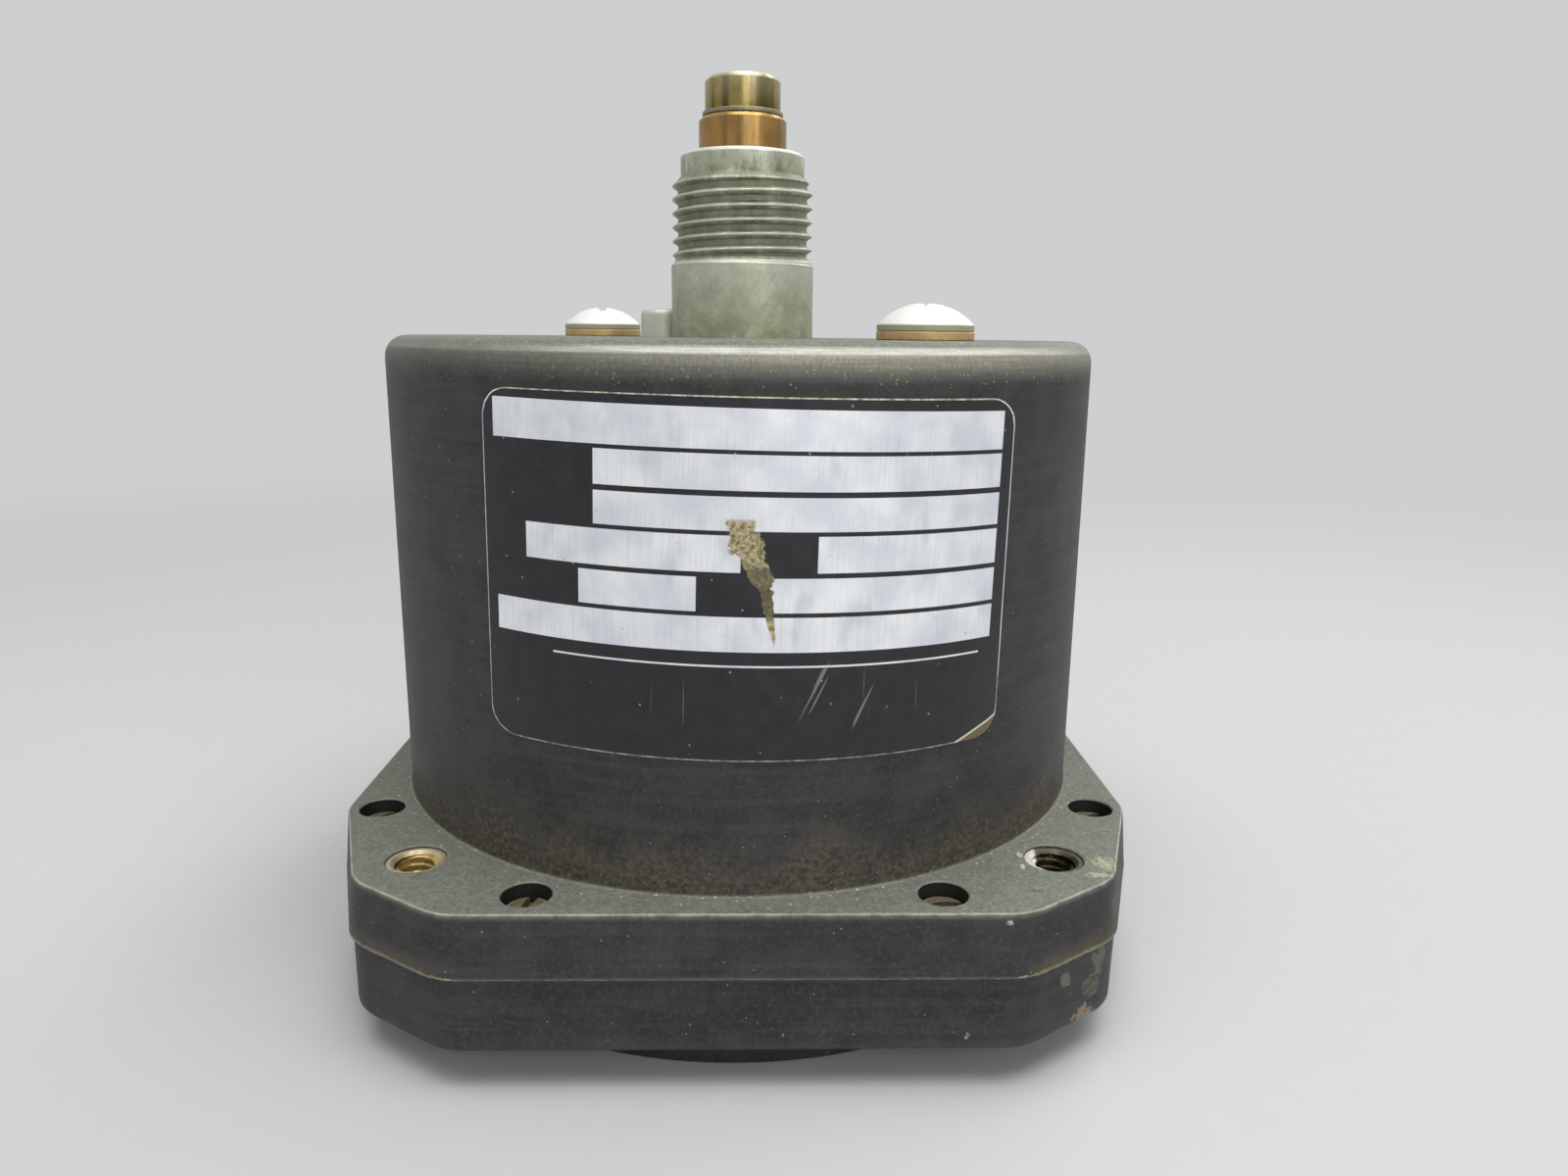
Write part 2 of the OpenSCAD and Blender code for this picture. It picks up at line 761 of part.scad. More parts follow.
module field_cup() {
    rim = z_magnet - cup_cover;
    color("#77797c")
    difference() {
        rod(2 * (field_r + field_t), rim, z_boss);
        rod(2 * field_r, rim - cut, z_boss - field_t);
        rod(pilot_d + 2 * fit_gap, rim, z_boss + cut);
    }
}

module drag_cup() {
    color("#c6c8ca")
    difference() {
        rod(2 * (cup_r + cup_t), z_cup, z_magnet_back + cup_cover);
        rod(2 * cup_r, z_cup_floor, z_magnet_back + cup_cover + cut);
        rod(cup_spigot_d + 2 * fit_gap, z_cup - cut, z_cup_floor + cut);
    }
}

module drag_cup_hub() {
    color("#b9a36a")
    difference() {
        union() {
            rod(cup_hub_d, z_cup_hub, z_cup);
            rod(cup_spigot_d, z_cup, z_cup_floor + cup_t / 2);
        }
        rod(staff_d + 2 * fit_gap, z_cup_hub - cut, z_cup_floor + cut);
    }
}

module pointer_staff() {
    color("#aeb1b5")
    union() {
        rod(staff_d, z_pointer_front, z_magnet - cup_t);
        rod(pivot_d, z_magnet - cup_t, z_magnet + pivot_h);
    }
}

module front_jewel() {
    color("#b0304a")
    tube(front_jewel_d, staff_d + 2 * run_gap, z_bridge, z_bridge_back);
}

module hairspring() {
    steps = spring_turns * turn_steps;
    color("#c2a25a")
    translate([0, 0, z_spring])
    rotate(pointer_angle)
    linear_extrude(height = spring_w)
    polygon(concat([for (i = [0:steps]) spring_point(i / steps, spring_t / 2)],
        [for (i = [steps:-1:0]) spring_point(i / steps, -spring_t / 2)]));
}

module hairspring_collet() {
    color("#b9a36a")
    tube(collet_d, staff_d + 2 * fit_gap, z_collet, z_collet + collet_t);
}

module hairspring_stud() {
    color("#b9a36a")
    at_stud() rod(stud_d, z_bridge, z_spring + spring_w);
}

// Place of the stud, outside the last turn of the hairspring
module at_stud() {
    rotate(pointer_angle + spring_turns * 360)
    translate([spring_r + 2 * fit_gap + spring_t + stud_d / 2, 0, 0])
    children();
}

module bridge_pillars() {
    color("#a9abad")
    at_pair(pillar_pcd, bridge_angle)
    difference() {
        union() {
            rod(pillar_d, z_bridge_back, z_frame);
            rod(pillar_stud_d, z_frame, z_inner - fit_gap);
        }
        rod(bridge_thread_d + 2 * fit_gap, z_bridge_back - cut, z_bridge_back + bridge_bite + fit_gap);
    }
}

module bridge_plate() {
    color("#9a9c9e")
    difference() {
        union() {
            rotate(bridge_angle) strip(pillar_pcd / 2, bridge_w, z_bridge, z_bridge_back);
            rod(bridge_mid_d, z_bridge, z_bridge_back);
        }
        rod(front_jewel_d + 2 * fit_gap, z_bridge - cut, z_bridge_back + cut);
        at_pair(pillar_pcd, bridge_angle)
            rod(bridge_thread_d + 2 * hole_play, z_bridge - cut, z_bridge_back + cut);
        at_pair(post_pcd, bridge_angle)
            rod(dial_thread_d + 2 * fit_gap, z_bridge - cut, z_bridge_back + cut);
        at_stud() rod(stud_d + 2 * fit_gap, z_bridge - cut, z_bridge_back + cut);
    }
}

module bridge_screws() {
    color("#c9ccd0")
    at_pair(pillar_pcd, bridge_angle) {
        rod(bridge_head_d, z_bridge - bridge_head_h, z_bridge);
        rod(bridge_thread_d, z_bridge, z_bridge_back + bridge_bite);
    }
}

module dial() {
    color("#18181a")
    difference() {
        rod(2 * dial_r, z_dial, z_dial + dial_t);
        rod(2 * staff_d, z_dial - cut, z_dial + dial_t + cut);
        at_pair(post_pcd, bridge_angle)
            rod(dial_thread_d + 2 * hole_play, z_dial - cut, z_dial + dial_t + cut);
        at_stop() rod(stop_d + 2 * fit_gap, z_dial - cut, z_dial + dial_t + cut);
    }
}

module dial_posts() {
    color("#b9a36a")
    at_pair(post_pcd, bridge_angle)
    difference() {
        union() {
            rod(post_d, z_dial + dial_t, z_bridge);
            rod(dial_thread_d, z_bridge, z_bridge_back);
        }
        rod(dial_thread_d + 2 * fit_gap, z_dial, z_dial + dial_t + dial_bite + fit_gap);
    }
}

module dial_screws() {
    color("#1f1f20")
    at_pair(post_pcd, bridge_angle) {
        rod(dial_head_d, z_dial - dial_head_h, z_dial);
        rod(dial_thread_d, z_dial, z_dial + dial_t + dial_bite);
    }
}

// Place of the zero stop, just behind the pointer
module at_stop() {
    rotate(pointer_angle - stop_angle) translate([stop_out, 0, 0]) children();
}

module pointer_stop() {
    color("#1f1f20")
    at_stop() rod(stop_d, z_pointer_front, z_dial + dial_t);
}

module pointer() {
    color("#e9e6da")
    translate([0, 0, z_pointer_front])
    rotate(pointer_angle)
    linear_extrude(height = pointer_t)
    difference() {
        union() {
            polygon([[-pointer_tail, -pointer_w / 4], [0, -pointer_w / 2],
                [pointer_l - 2 * pointer_w, -pointer_w / 3], [pointer_l, 0],
                [pointer_l - 2 * pointer_w, pointer_w / 3], [0, pointer_w / 2],
                [-pointer_tail, pointer_w / 4]]);
            circle(d = pointer_eye_d);
            translate([-pointer_tail, 0]) circle(d = tail_d);
        }
        circle(d = staff_d + 2 * fit_gap);
    }
}

module pointer_hub() {
    color("#b9a36a")
    tube(pointer_hub_d, staff_d + 2 * fit_gap, z_pointer, z_pointer + pointer_hub_h);
}

case();
bezel();
cover_glass();
glass_gasket();
spacer_ring();
mounting_inserts();
bezel_screws();
data_plate();
case_screws();
screw_washers();
drive_neck();
movement_frame();
rear_bushing();
front_bushing();
thrust_washer();
drive_spindle();
spindle_clip();
magnet_hub();
compensator_ring();
magnet();
rear_jewel();
field_cup();
drag_cup();
drag_cup_hub();
pointer_staff();
front_jewel();
hairspring();
hairspring_collet();
hairspring_stud();
bridge_pillars();
bridge_plate();
bridge_screws();
dial();
dial_posts();
dial_screws();
pointer_stop();
pointer();
pointer_hub();
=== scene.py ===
import json
from functools import partialmethod
from math import acos, asin, atan2, copysign, cos, degrees, pi, radians, sin, sqrt, tan

import bmesh
import bpy
from mathutils import Matrix, Vector, geometry


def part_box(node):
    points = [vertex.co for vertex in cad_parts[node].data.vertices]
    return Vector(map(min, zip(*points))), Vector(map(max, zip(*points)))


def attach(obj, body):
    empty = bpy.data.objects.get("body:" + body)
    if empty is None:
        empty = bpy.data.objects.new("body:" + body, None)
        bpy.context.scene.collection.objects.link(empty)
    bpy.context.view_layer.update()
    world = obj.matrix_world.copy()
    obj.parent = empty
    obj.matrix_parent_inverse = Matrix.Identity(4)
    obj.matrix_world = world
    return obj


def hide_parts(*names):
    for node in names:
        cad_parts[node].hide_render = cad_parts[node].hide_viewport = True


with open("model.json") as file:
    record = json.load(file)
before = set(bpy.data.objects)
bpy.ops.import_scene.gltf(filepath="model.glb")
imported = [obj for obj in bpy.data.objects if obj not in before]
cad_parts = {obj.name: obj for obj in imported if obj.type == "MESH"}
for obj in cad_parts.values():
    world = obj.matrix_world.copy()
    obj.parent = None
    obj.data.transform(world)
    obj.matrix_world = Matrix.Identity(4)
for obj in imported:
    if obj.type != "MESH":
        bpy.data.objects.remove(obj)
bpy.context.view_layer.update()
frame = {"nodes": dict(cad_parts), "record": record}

scene = bpy.context.scene
scene.view_settings.view_transform = "Standard"
mm = 0.001
weld = 1e-7  # metres within which points become one


# Small helpers

class Sizes(dict):
    # a dictionary whose entries also read as attributes
    __getattr__ = dict.__getitem__


def paint(colour):
    # 0-255 screen colour to the linear colour that the sockets take
    return (*[c / 255 / 12.92 if c <= 10 else ((c / 255 + 0.055) / 1.055) ** 2.4 for c in colour], 1.0)


def nodeBox(name):
    low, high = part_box(name)
    return low / mm, high / mm


def circle(radius, z, count, centre=(0.0, 0.0)):
    turn = 2 * pi / count
    return [(centre[0] + radius * cos(i * turn), centre[1] + radius * sin(i * turn), z)
            for i in range(count)]


def polar(radius, angle):
    # angle in degrees
    return radius * cos(radians(angle)), radius * sin(radians(angle))


def arcProfile(centreR, centreZ, radius, fromDeg, toDeg, steps):
    # points of a rounding in the radius-height plane
    angles = [radians(fromDeg + (toDeg - fromDeg) * i / steps) for i in range(steps + 1)]
    return [(centreR + radius * cos(a), centreZ + radius * sin(a)) for a in angles]


class Value:
    # what a socket gives, with the usual signs for sums, products and comparisons
    def __init__(self, graph, socket):
        self.graph = graph
        self.socket = socket

    def calc(self, operation, other=0.0):
        return self.graph.calc(operation, self, other)

    __add__ = partialmethod(calc, "ADD")
    __sub__ = partialmethod(calc, "SUBTRACT")
    __mul__ = partialmethod(calc, "MULTIPLY")
    __truediv__ = partialmethod(calc, "DIVIDE")
    __gt__ = partialmethod(calc, "GREATER_THAN")
    __lt__ = partialmethod(calc, "LESS_THAN")
    __abs__ = partialmethod(calc, "ABSOLUTE")

    def __rsub__(self, other):
        return self.graph.calc("SUBTRACT", other, self)

    def window(self, low, high, toLow=0.0, toHigh=1.0, kind="SMOOTHSTEP"):
        # step from low to high
        limits = {"Value": self, "From Min": low, "From Max": high, "To Min": toLow, "To Max": toHigh}
        return self.graph.value("ShaderNodeMapRange", limits, interpolation_type=kind)

    def band(self, low, high, soft):
        # 1 between low and high, with soft edges
        return self.window(low - soft, low) * self.window(high + soft, high)


class Graph:
    # a node tree with short ways to add and join nodes
    def __init__(self, tree):
        self.tree = tree

    def add(self, kind, values=None, **settings):
        node = self.tree.nodes.new(kind)
        for key, value in settings.items():
            setattr(node, key, value)
        for key, value in (values or {}).items():
            self.feed(node.inputs[key], value)
        return node

    def value(self, kind, values=None, output=0, **settings):
        return Value(self, self.add(kind, values, **settings).outputs[output])

    def feed(self, socket, value):
        if isinstance(value, Value):
            self.tree.links.new(value.socket, socket)
        else:
            socket.default_value = value

    def calc(self, operation, a, b=0.0, clamp=False):
        return self.value("ShaderNodeMath", {0: a, 1: b}, operation=operation, use_clamp=clamp)

    def parts(self, vector):
        return [Value(self, out) for out in self.add("ShaderNodeSeparateXYZ", {0: vector}).outputs]

    def shownRays(self):
        # 1 for the rays that show a surface to the eye, in a mirror or through glass
        ray = self.add("ShaderNodeLightPath").outputs
        kinds = ("Camera", "Glossy", "Transmission")
        eye, mirror, glass = [Value(self, ray[f"Is {kind} Ray"]) for kind in kinds]
        return self.calc("ADD", eye + mirror, glass, True)


class Finish(Graph):
    # a material on Object coordinates, with sizes in millimetres
    def __init__(self, name):
        self.material = bpy.data.materials.new(name)
        self.material.use_nodes = True
        super().__init__(self.material.node_tree)
        self.tree.nodes.clear()
        self.output = self.add("ShaderNodeOutputMaterial")
        self.shader = self.add("ShaderNodeBsdfPrincipled")
        self.tree.links.new(self.shader.outputs["BSDF"], self.output.inputs["Surface"])
        self.place = self.value("ShaderNodeTexCoord", output="Object")
        self.x, self.y, self.z = [axis * 1000.0 for axis in self.parts(self.place)]

    def mapped(self, size, stretch=(1, 1, 1), vector=None):
        scale = [1 / (size * mm * s) for s in stretch]
        return self.value("ShaderNodeMapping", {"Vector": vector or self.place, "Scale": scale})

    def noise(self, size, detail=3.0, rough=0.55, stretch=(1, 1, 1), vector=None):
        return self.value("ShaderNodeTexNoise", {"Vector": self.mapped(size, stretch, vector), "Scale": 1.0,
                                                 "Detail": detail, "Roughness": rough})

    def specks(self, size, share, width):
        # small round spots in some of the cells of a random net
        cells = self.add("ShaderNodeTexVoronoi", {"Vector": self.mapped(size), "Scale": 1.0}).outputs
        chosen = self.value("ShaderNodeSeparateColor", {0: Value(self, cells["Color"])})
        return Value(self, cells["Distance"]).window(width, width * 0.5) * (chosen < share)

    def mix(self, factor, a, b):
        # each colour is a value or a 0-255 screen colour
        a, b = [c if isinstance(c, Value) else paint(c) for c in (a, b)]
        return self.value("ShaderNodeMix", {0: factor, 6: a, 7: b}, 2, data_type="RGBA")

    def coat(self, cover, colour):
        self.tone = self.mix(cover, self.tone, colour)

    def fromAxis(self):
        return (self.x * self.x + self.y * self.y).calc("SQRT")

    def wear(self):
        return self.value("ShaderNodeAttribute", output="Fac", attribute_name="wear")

    def facing(self):
        # the three parts of the surface's direction
        return self.parts(self.value("ShaderNodeNewGeometry", output="Normal"))

    def bump(self, height, depth, strength):
        return self.value("ShaderNodeBump", {"Height": height, "Distance": depth * mm, "Strength": strength})

    def finish(self, **sockets):
        for name, value in {"Base_Color": self.tone, **sockets}.items():
            self.feed(self.shader.inputs[name.replace("_", " ")], value)
        return self.material


class Shape:
    # a mesh under way, with a value on each face corner: wear above zero, painted shade below zero
    def __init__(self):
        self.bm = bmesh.new()
        self.worn = self.bm.loops.layers.float.new("wear")

    def ring(self, points):
        return [self.bm.verts.new(Vector(p) * mm) for p in points]

    def face(self, corners, wears=None, material=0):
        face = self.bm.faces.new(corners)
        face.material_index = material
        for loop, wear in zip(face.loops, wears or [0.0] * len(corners)):
            loop[self.worn] = wear

    def skin(self, lower, upper, low=0.0, high=0.0):
        # quads between two closed rings with the same number of points
        for i in range(len(lower)):
            j = (i + 1) % len(lower)
            self.face((lower[i], lower[j], upper[j], upper[i]), (low, low, high, high))

    def cap(self, outer, holes=(), wear=0.0):
        # flat face with holes, kept flat by sharp edges
        loops = [outer, *holes]
        corners = [v for loop in loops for v in loop]
        for triangle in geometry.tessellate_polygon([[v.co / mm for v in loop] for loop in loops]):
            self.face([corners[i] for i in triangle], [wear] * 3)
        for loop in loops:
            for a, b in zip(loop, loop[1:] + loop[:1]):
                edge = self.bm.edges.get((a, b))
                if edge:
                    edge.smooth = False

    def prism(self, low, high):
        low, high = self.ring(low), self.ring(high)
        self.skin(low, high)
        self.cap(low)
        self.cap(high)

    def lathe(self, profile, count, wears=None, centre=(0.0, 0.0), first=None, last=None):
        # rings of a profile of (radius, height) points, joined to given rings at its ends
        wears = wears or [0.0] * len(profile)
        rings = []
        for index, (radius, z) in enumerate(profile):
            if index == 0 and first:
                rings.append(first)
            elif index == len(profile) - 1 and last:
                rings.append(last)
            elif radius == 0:
                rings.append(self.ring([(*centre, z)]))
            else:
                rings.append(self.ring(circle(radius, z, count, centre)))
        for a, b, low, high in zip(rings, rings[1:], wears, wears[1:]):
            if len(a) == 1 or len(b) == 1:
                pole, rim = (a[0], b) if len(a) == 1 else (b[0], a)
                for i in range(count):
                    self.face((rim[i], rim[(i + 1) % count], pole), (low, low, high))
            else:
                self.skin(a, b, low, high)
        return rings

    def absorb(self, obj):
        # takes over the mesh of an object, which goes
        self.bm.from_mesh(obj.data)
        discard(obj)

    def piece(self, name, *materials, sharp=38):
        # the finished mesh in a new object, smooth up to the sharp angle
        bm = self.bm
        bmesh.ops.remove_doubles(bm, verts=bm.verts, dist=weld)
        bmesh.ops.recalc_face_normals(bm, faces=bm.faces)
        for edge in bm.edges:
            if len(edge.link_faces) == 2 and edge.calc_face_angle() > radians(sharp):
                edge.smooth = False
        for face in bm.faces:
            face.smooth = True
        mesh = bpy.data.meshes.new(name)
        bm.to_mesh(mesh)
        bm.free()
        return newObject(name, mesh, *materials)


def newObject(name, data, *materials):
    obj = bpy.data.objects.new(name, data)
    scene.collection.objects.link(obj)
    for material in materials:
        data.materials.append(material)
    return obj


def discard(obj):
    bpy.data.objects.remove(obj)


def mount(obj, body, slotName, *nodes):
    # the piece moves with its body and stands for its CAD nodes
    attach(obj, body)
    if nodes:
        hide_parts(*nodes)


def plainMesh(obj):
    # a mesh of what the object shows, with its modifiers applied
    bpy.context.view_layer.update()
    ready = obj.evaluated_get(bpy.context.evaluated_depsgraph_get())
    return bpy.data.meshes.new_from_object(ready)


def settle(obj):
    # the result of the modifiers becomes the object's own mesh
    mesh = plainMesh(obj)
    obj.modifiers.clear()
    obj.data = mesh
    return obj


def carve(obj, cutter, operation="DIFFERENCE"):
    tool = obj.modifiers.new("carve", "BOOLEAN")
    tool.object = cutter
    tool.operation = operation
    tool.solver = "EXACT"
    settle(obj)
    discard(cutter)


# Camera, fitted to the photograph

photoView = Sizes(
    width=1600, focalPx=1144.136, sensor=36.0,  # px, px and mm
    place=(1.698, -133.533, 68.171),
    pitchDown=12.755, yaw=1.483, roll=0.615,
    nearest=0.001,  # metres
)


def makeCamera(view):
    pitch, yaw, roll = (radians(angle) for angle in (view.pitchDown, view.yaw, view.roll))
    side = Vector((cos(yaw), -sin(yaw), 0))
    ahead = Vector((sin(yaw), cos(yaw), 0))
    forward = ahead * cos(pitch) - Vector((0, 0, sin(pitch)))
    upright = ahead * sin(pitch) + Vector((0, 0, cos(pitch)))
    axisX = side * cos(roll) + upright * sin(roll)
    axisY = upright * cos(roll) - side * sin(roll)
    lens = bpy.data.cameras.new("photoCamera")
    lens.sensor_width = view.sensor
    lens.lens = view.focalPx / view.width * view.sensor
    lens.clip_start = view.nearest
    camera = newObject("photoCamera", lens)
    turn = Matrix((axisX, axisY, -forward)).transposed().to_4x4()
    camera.matrix_world = Matrix.Translation(Vector(view.place) * mm) @ turn
    scene.camera = camera


makeCamera(photoView)
print("camera placed")


# Floor and light

studio = Sizes(  # metres and watts
    floorColour=(205, 205, 203), floorFleck=(202, 202, 200), farColour=(206, 207, 208), farFrom=(0.14, 0.5),
    floorReach=1.6, sweepStart=0.45, sweepRadius=0.5, sweepSteps=14, wallHeight=1.4,
    skyColour=(232, 236, 242), skyStrength=0.42, aim=(0, 0, 0.04),
    # lamps: place, size, power
    lamps={"overhead": ((0.05, -0.12, 0.7), (0.7, 0.5), 4.2),
           "frontFill": ((0.3, -0.73, 0.35), (0.6, 0.4), 1.7),
           "rearRim": ((0.45, 0.5, 0.5), (0.4, 0.4), 1.2)},
)


def makeFloor(look):
    shape = Shape()
    reach, start, radius = look.floorReach, look.sweepStart, look.sweepRadius
    line = [(-reach, 0.0)]
    for i in range(look.sweepSteps + 1):
        t = pi / 2 * i / look.sweepSteps
        line.append((start + radius * sin(t), radius - radius * cos(t)))
    line.append((start + radius, look.wallHeight))
    rows = [shape.ring([(x / mm, y / mm, z / mm) for x in (-reach, reach)]) for y, z in line]
    for a, b in zip(rows, rows[1:]):
        shape.face((a[0], a[1], b[1], b[0]))
    f = Finish("floorPaper")
    f.tone = f.mix(f.noise(3, 4), look.floorColour, look.floorFleck)
    material = f.finish(Roughness=0.85)

    # far from the object the backdrop is an even pale grey for every ray that shows it
    away = f.value("ShaderNodeVectorMath", {0: f.place}, "Value", operation="LENGTH")
    even = f.value("ShaderNodeEmission", {"Color": paint(look.farColour), "Strength": 1.0})
    blend = f.value("ShaderNodeMixShader", {0: f.shownRays() * away.window(*look.farFrom),
                                            1: Value(f, f.shader.outputs[0]), 2: even})
    f.feed(f.output.inputs["Surface"], blend)
    shape.piece("floor", material)


def makeSky(look):
    # soft light for the object, and the backdrop's even grey for the rays that show it
    world = bpy.data.worlds.new("studioSky")
    world.use_nodes = True
    g = Graph(world.node_tree)
    g.tree.nodes.clear()
    soft, even = [g.value("ShaderNodeBackground", {"Color": paint(colour), "Strength": strength})
                  for colour, strength in ((look.skyColour, look.skyStrength), (look.farColour, 1.0))]
    blend = g.value("ShaderNodeMixShader", {0: g.shownRays(), 1: soft, 2: even})
    g.add("ShaderNodeOutputWorld", {"Surface": blend})
    scene.world = world


def makeLamps(look):
    for name, (place, size, power) in look.lamps.items():
        lamp = bpy.data.lights.new(name, "AREA")
        lamp.shape = "RECTANGLE"
        lamp.size, lamp.size_y = size
        lamp.energy = power
        obj = newObject(name, lamp)
        obj.location = place
        obj.rotation_euler = (Vector(look.aim) - Vector(place)).to_track_quat("-Z", "Y").to_euler()


makeFloor(studio)
makeSky(studio)
makeLamps(studio)
print("floor and light ready")


# Finishes

def phenolicFinish(name, look):
    f = Finish(name)
    normal = f.facing()
    upward = normal[2].window(0.35, 0.95)
    upright = 1.0 - upward
    cloud = f.noise(4, 5, 0.6)
    fine = f.noise(0.4, 4, 0.68)
    streaks = f.noise(0.9, 3, 0.6, (30, 30, 1))
    f.tone = f.mix(cloud.window(0.3, 0.7), look.dark, look.light)
    f.coat(streaks.window(0.4, 0.75, 0.0, 0.22), look.grain)
    f.coat(fine.window(0.45, 0.75, 0.0, 0.5), look.grain)

    # grey dust that lies on what faces up
    dust = f.mix(fine.window(0.3, 0.7), look.dustLow, look.dustHigh)
    dust = f.mix(f.noise(1.8, 6, 0.7).window(0.42, 0.7, 0.0, 0.32), dust, look.dustThin)
    f.coat(upward * cloud.window(0.1, 0.8, 0.88, 1.0), dust)

    if "footDust" in look:  # brown grit climbs the barrel from its foot
        bottom, top = look.footRise
        climb = (f.z + f.noise(7, 4, 0.6).window(0.2, 0.8, -2.5, 2.5)).window(top, bottom)
        gritty = f.noise(0.5, 3, 0.7).window(0.38, 0.68, 0.1, 0.9)
        f.coat(climb * upright * (f.z > bottom) * gritty, look.footDust)
        line = f.z.band(bottom, bottom + 0.12, 0.08) * f.fromAxis().window(*look.footLineR)
        f.coat(line * f.noise(1.6, 4, 0.7).window(0.4, 0.62, 0.0, 0.5), look.footLine)
    if "shoulder" in look:  # rubbed rounding of the back edge, a speckled band below it and a painted highlight along the rounding
        low, edge, high = look.shoulder
        handled = abs(f.x - look.rubbedX).window(42.0, 4.0, 0.3, 1.0) * f.y.window(10.0, -20.0, 0.4, 1.0)
        streaky = (f.noise(0.3, 3, 0.6, (40, 40, 1)).window(0.3, 0.7, 0.7, 1.0)
                   * f.noise(0.22, 3, 0.7, (1, 1, 3)).window(0.3, 0.7, 0.65, 1.0))
        f.coat(f.z.window(low, edge) * f.z.window(edge + 0.7, edge + 0.1) * streaky * handled, look.rubbed)
        f.coat(f.specks(0.45, 0.4, 0.26) * f.z.band(low + 0.4, edge, 0.8) * handled * 0.5, look.speck)
        # painted highlight: thin light lines along the back edge's rounding, strongest at the front
        shine = (f.z.window(edge, edge + 0.25) * f.z.window(high + 0.2, edge + 0.4)
                 * abs(f.x - look.shineX).window(30.0, 12.0, 0.15, 1.0) * f.y.window(0.0, -20.0, 0.2, 1.0)
                 * f.noise(0.16, 5, 0.75, (30, 30, 1)).window(0.34, 0.6, 0.5, 1.0)
                 * f.noise(0.25, 3, 0.7).window(0.3, 0.6, 0.75, 1.0))
        f.coat(shine, look.shine)

    # crust along the parting line: thin on the flats, broad and coloured on the slanting facets
    slant = abs(normal[0] * normal[1]) * 2.0
    toRight = normal[0].window(-0.1, 0.1)
    reach = slant * look.crustWidth[1] + look.crustWidth[0]
    torn = f.noise(0.9, 5, 0.7)
    ragged = torn.window(0.4, 0.6, 0.05, 1.3) * (1.0 - slant) + torn.window(0.3, 0.7, 0.7, 1.2) * slant
    crust = (abs(f.z - partingZ) / (reach * ragged)).window(1.0, 0.5)
    colour = f.mix(slant.window(0.2, 0.6), look.crustFront, f.mix(toRight, look.crustLeft, look.crustRight))
    colour = f.mix(fine.window(0.35, 0.7, 0.0, 0.5), colour, look.crustDark)
    f.coat(crust * upright * 0.85, colour)
    seep = (f.z.window(partingZ + look.seepRise, partingZ) * (f.z > partingZ) * slant.window(0.3, 0.8)
            * normal[1].window(0.0, -0.2) * f.noise(2.2, 5, 0.7).window(0.3, 0.65, 0.2, 1.0))
    f.coat(seep * (toRight * 0.25 + 0.55), look.seep)

    for centre, size, colour, grainSize, level in look.patches:  # rubbed or chipped places, and one painted highlight on the flange's right side
        away = [(axis - c) / s for axis, c, s in zip((f.x, f.y, f.z), centre, size)]
        distance = away[0] * away[0] + away[1] * away[1] + away[2] * away[2]
        torn = f.noise(grainSize, 5, 0.7).window(0.32, 0.68)
        f.coat((distance.window(1.3, 0.0) - torn).window(level, level + 0.3) * 0.8, colour)

    # pale worn edges, broken by noise, and painted shade, near black, on the screw recess walls where the
    # value is below zero
    wear = f.wear()
    broken = f.noise(2.2, 5, 0.7).window(0.3, 0.62, 0.3, 1.0)
    f.coat(wear.calc("MAXIMUM", 0.0).calc("POWER", 1.5) * broken * look.wearStrength, look.worn)
    f.coat(wear.window(-0.2, -0.8, 0.0, 0.85), look.pit)

    # fine pale specks and a few larger crumbs, most of them round the barrel's foot
    small = f.specks(0.34, upward * 0.08 + 0.014, 0.3)
    footRing = upward * f.fromAxis().window(*look.footRingR) * f.z.window(*look.footRingZ)
    crumbs = f.specks(1.7, 0.008, 0.06).calc("MAXIMUM", f.specks(0.62, footRing * 0.3, 0.3))
    f.coat((small * 0.4).calc("MAXIMUM", crumbs * 0.7), look.speck)
    return f.finish(Roughness=fine.window(0.2, 0.8, *look.rough), Specular_IOR_Level=0.4,
                    Normal=f.bump(fine * 0.7 + small * 0.6, 0.03, 0.6))


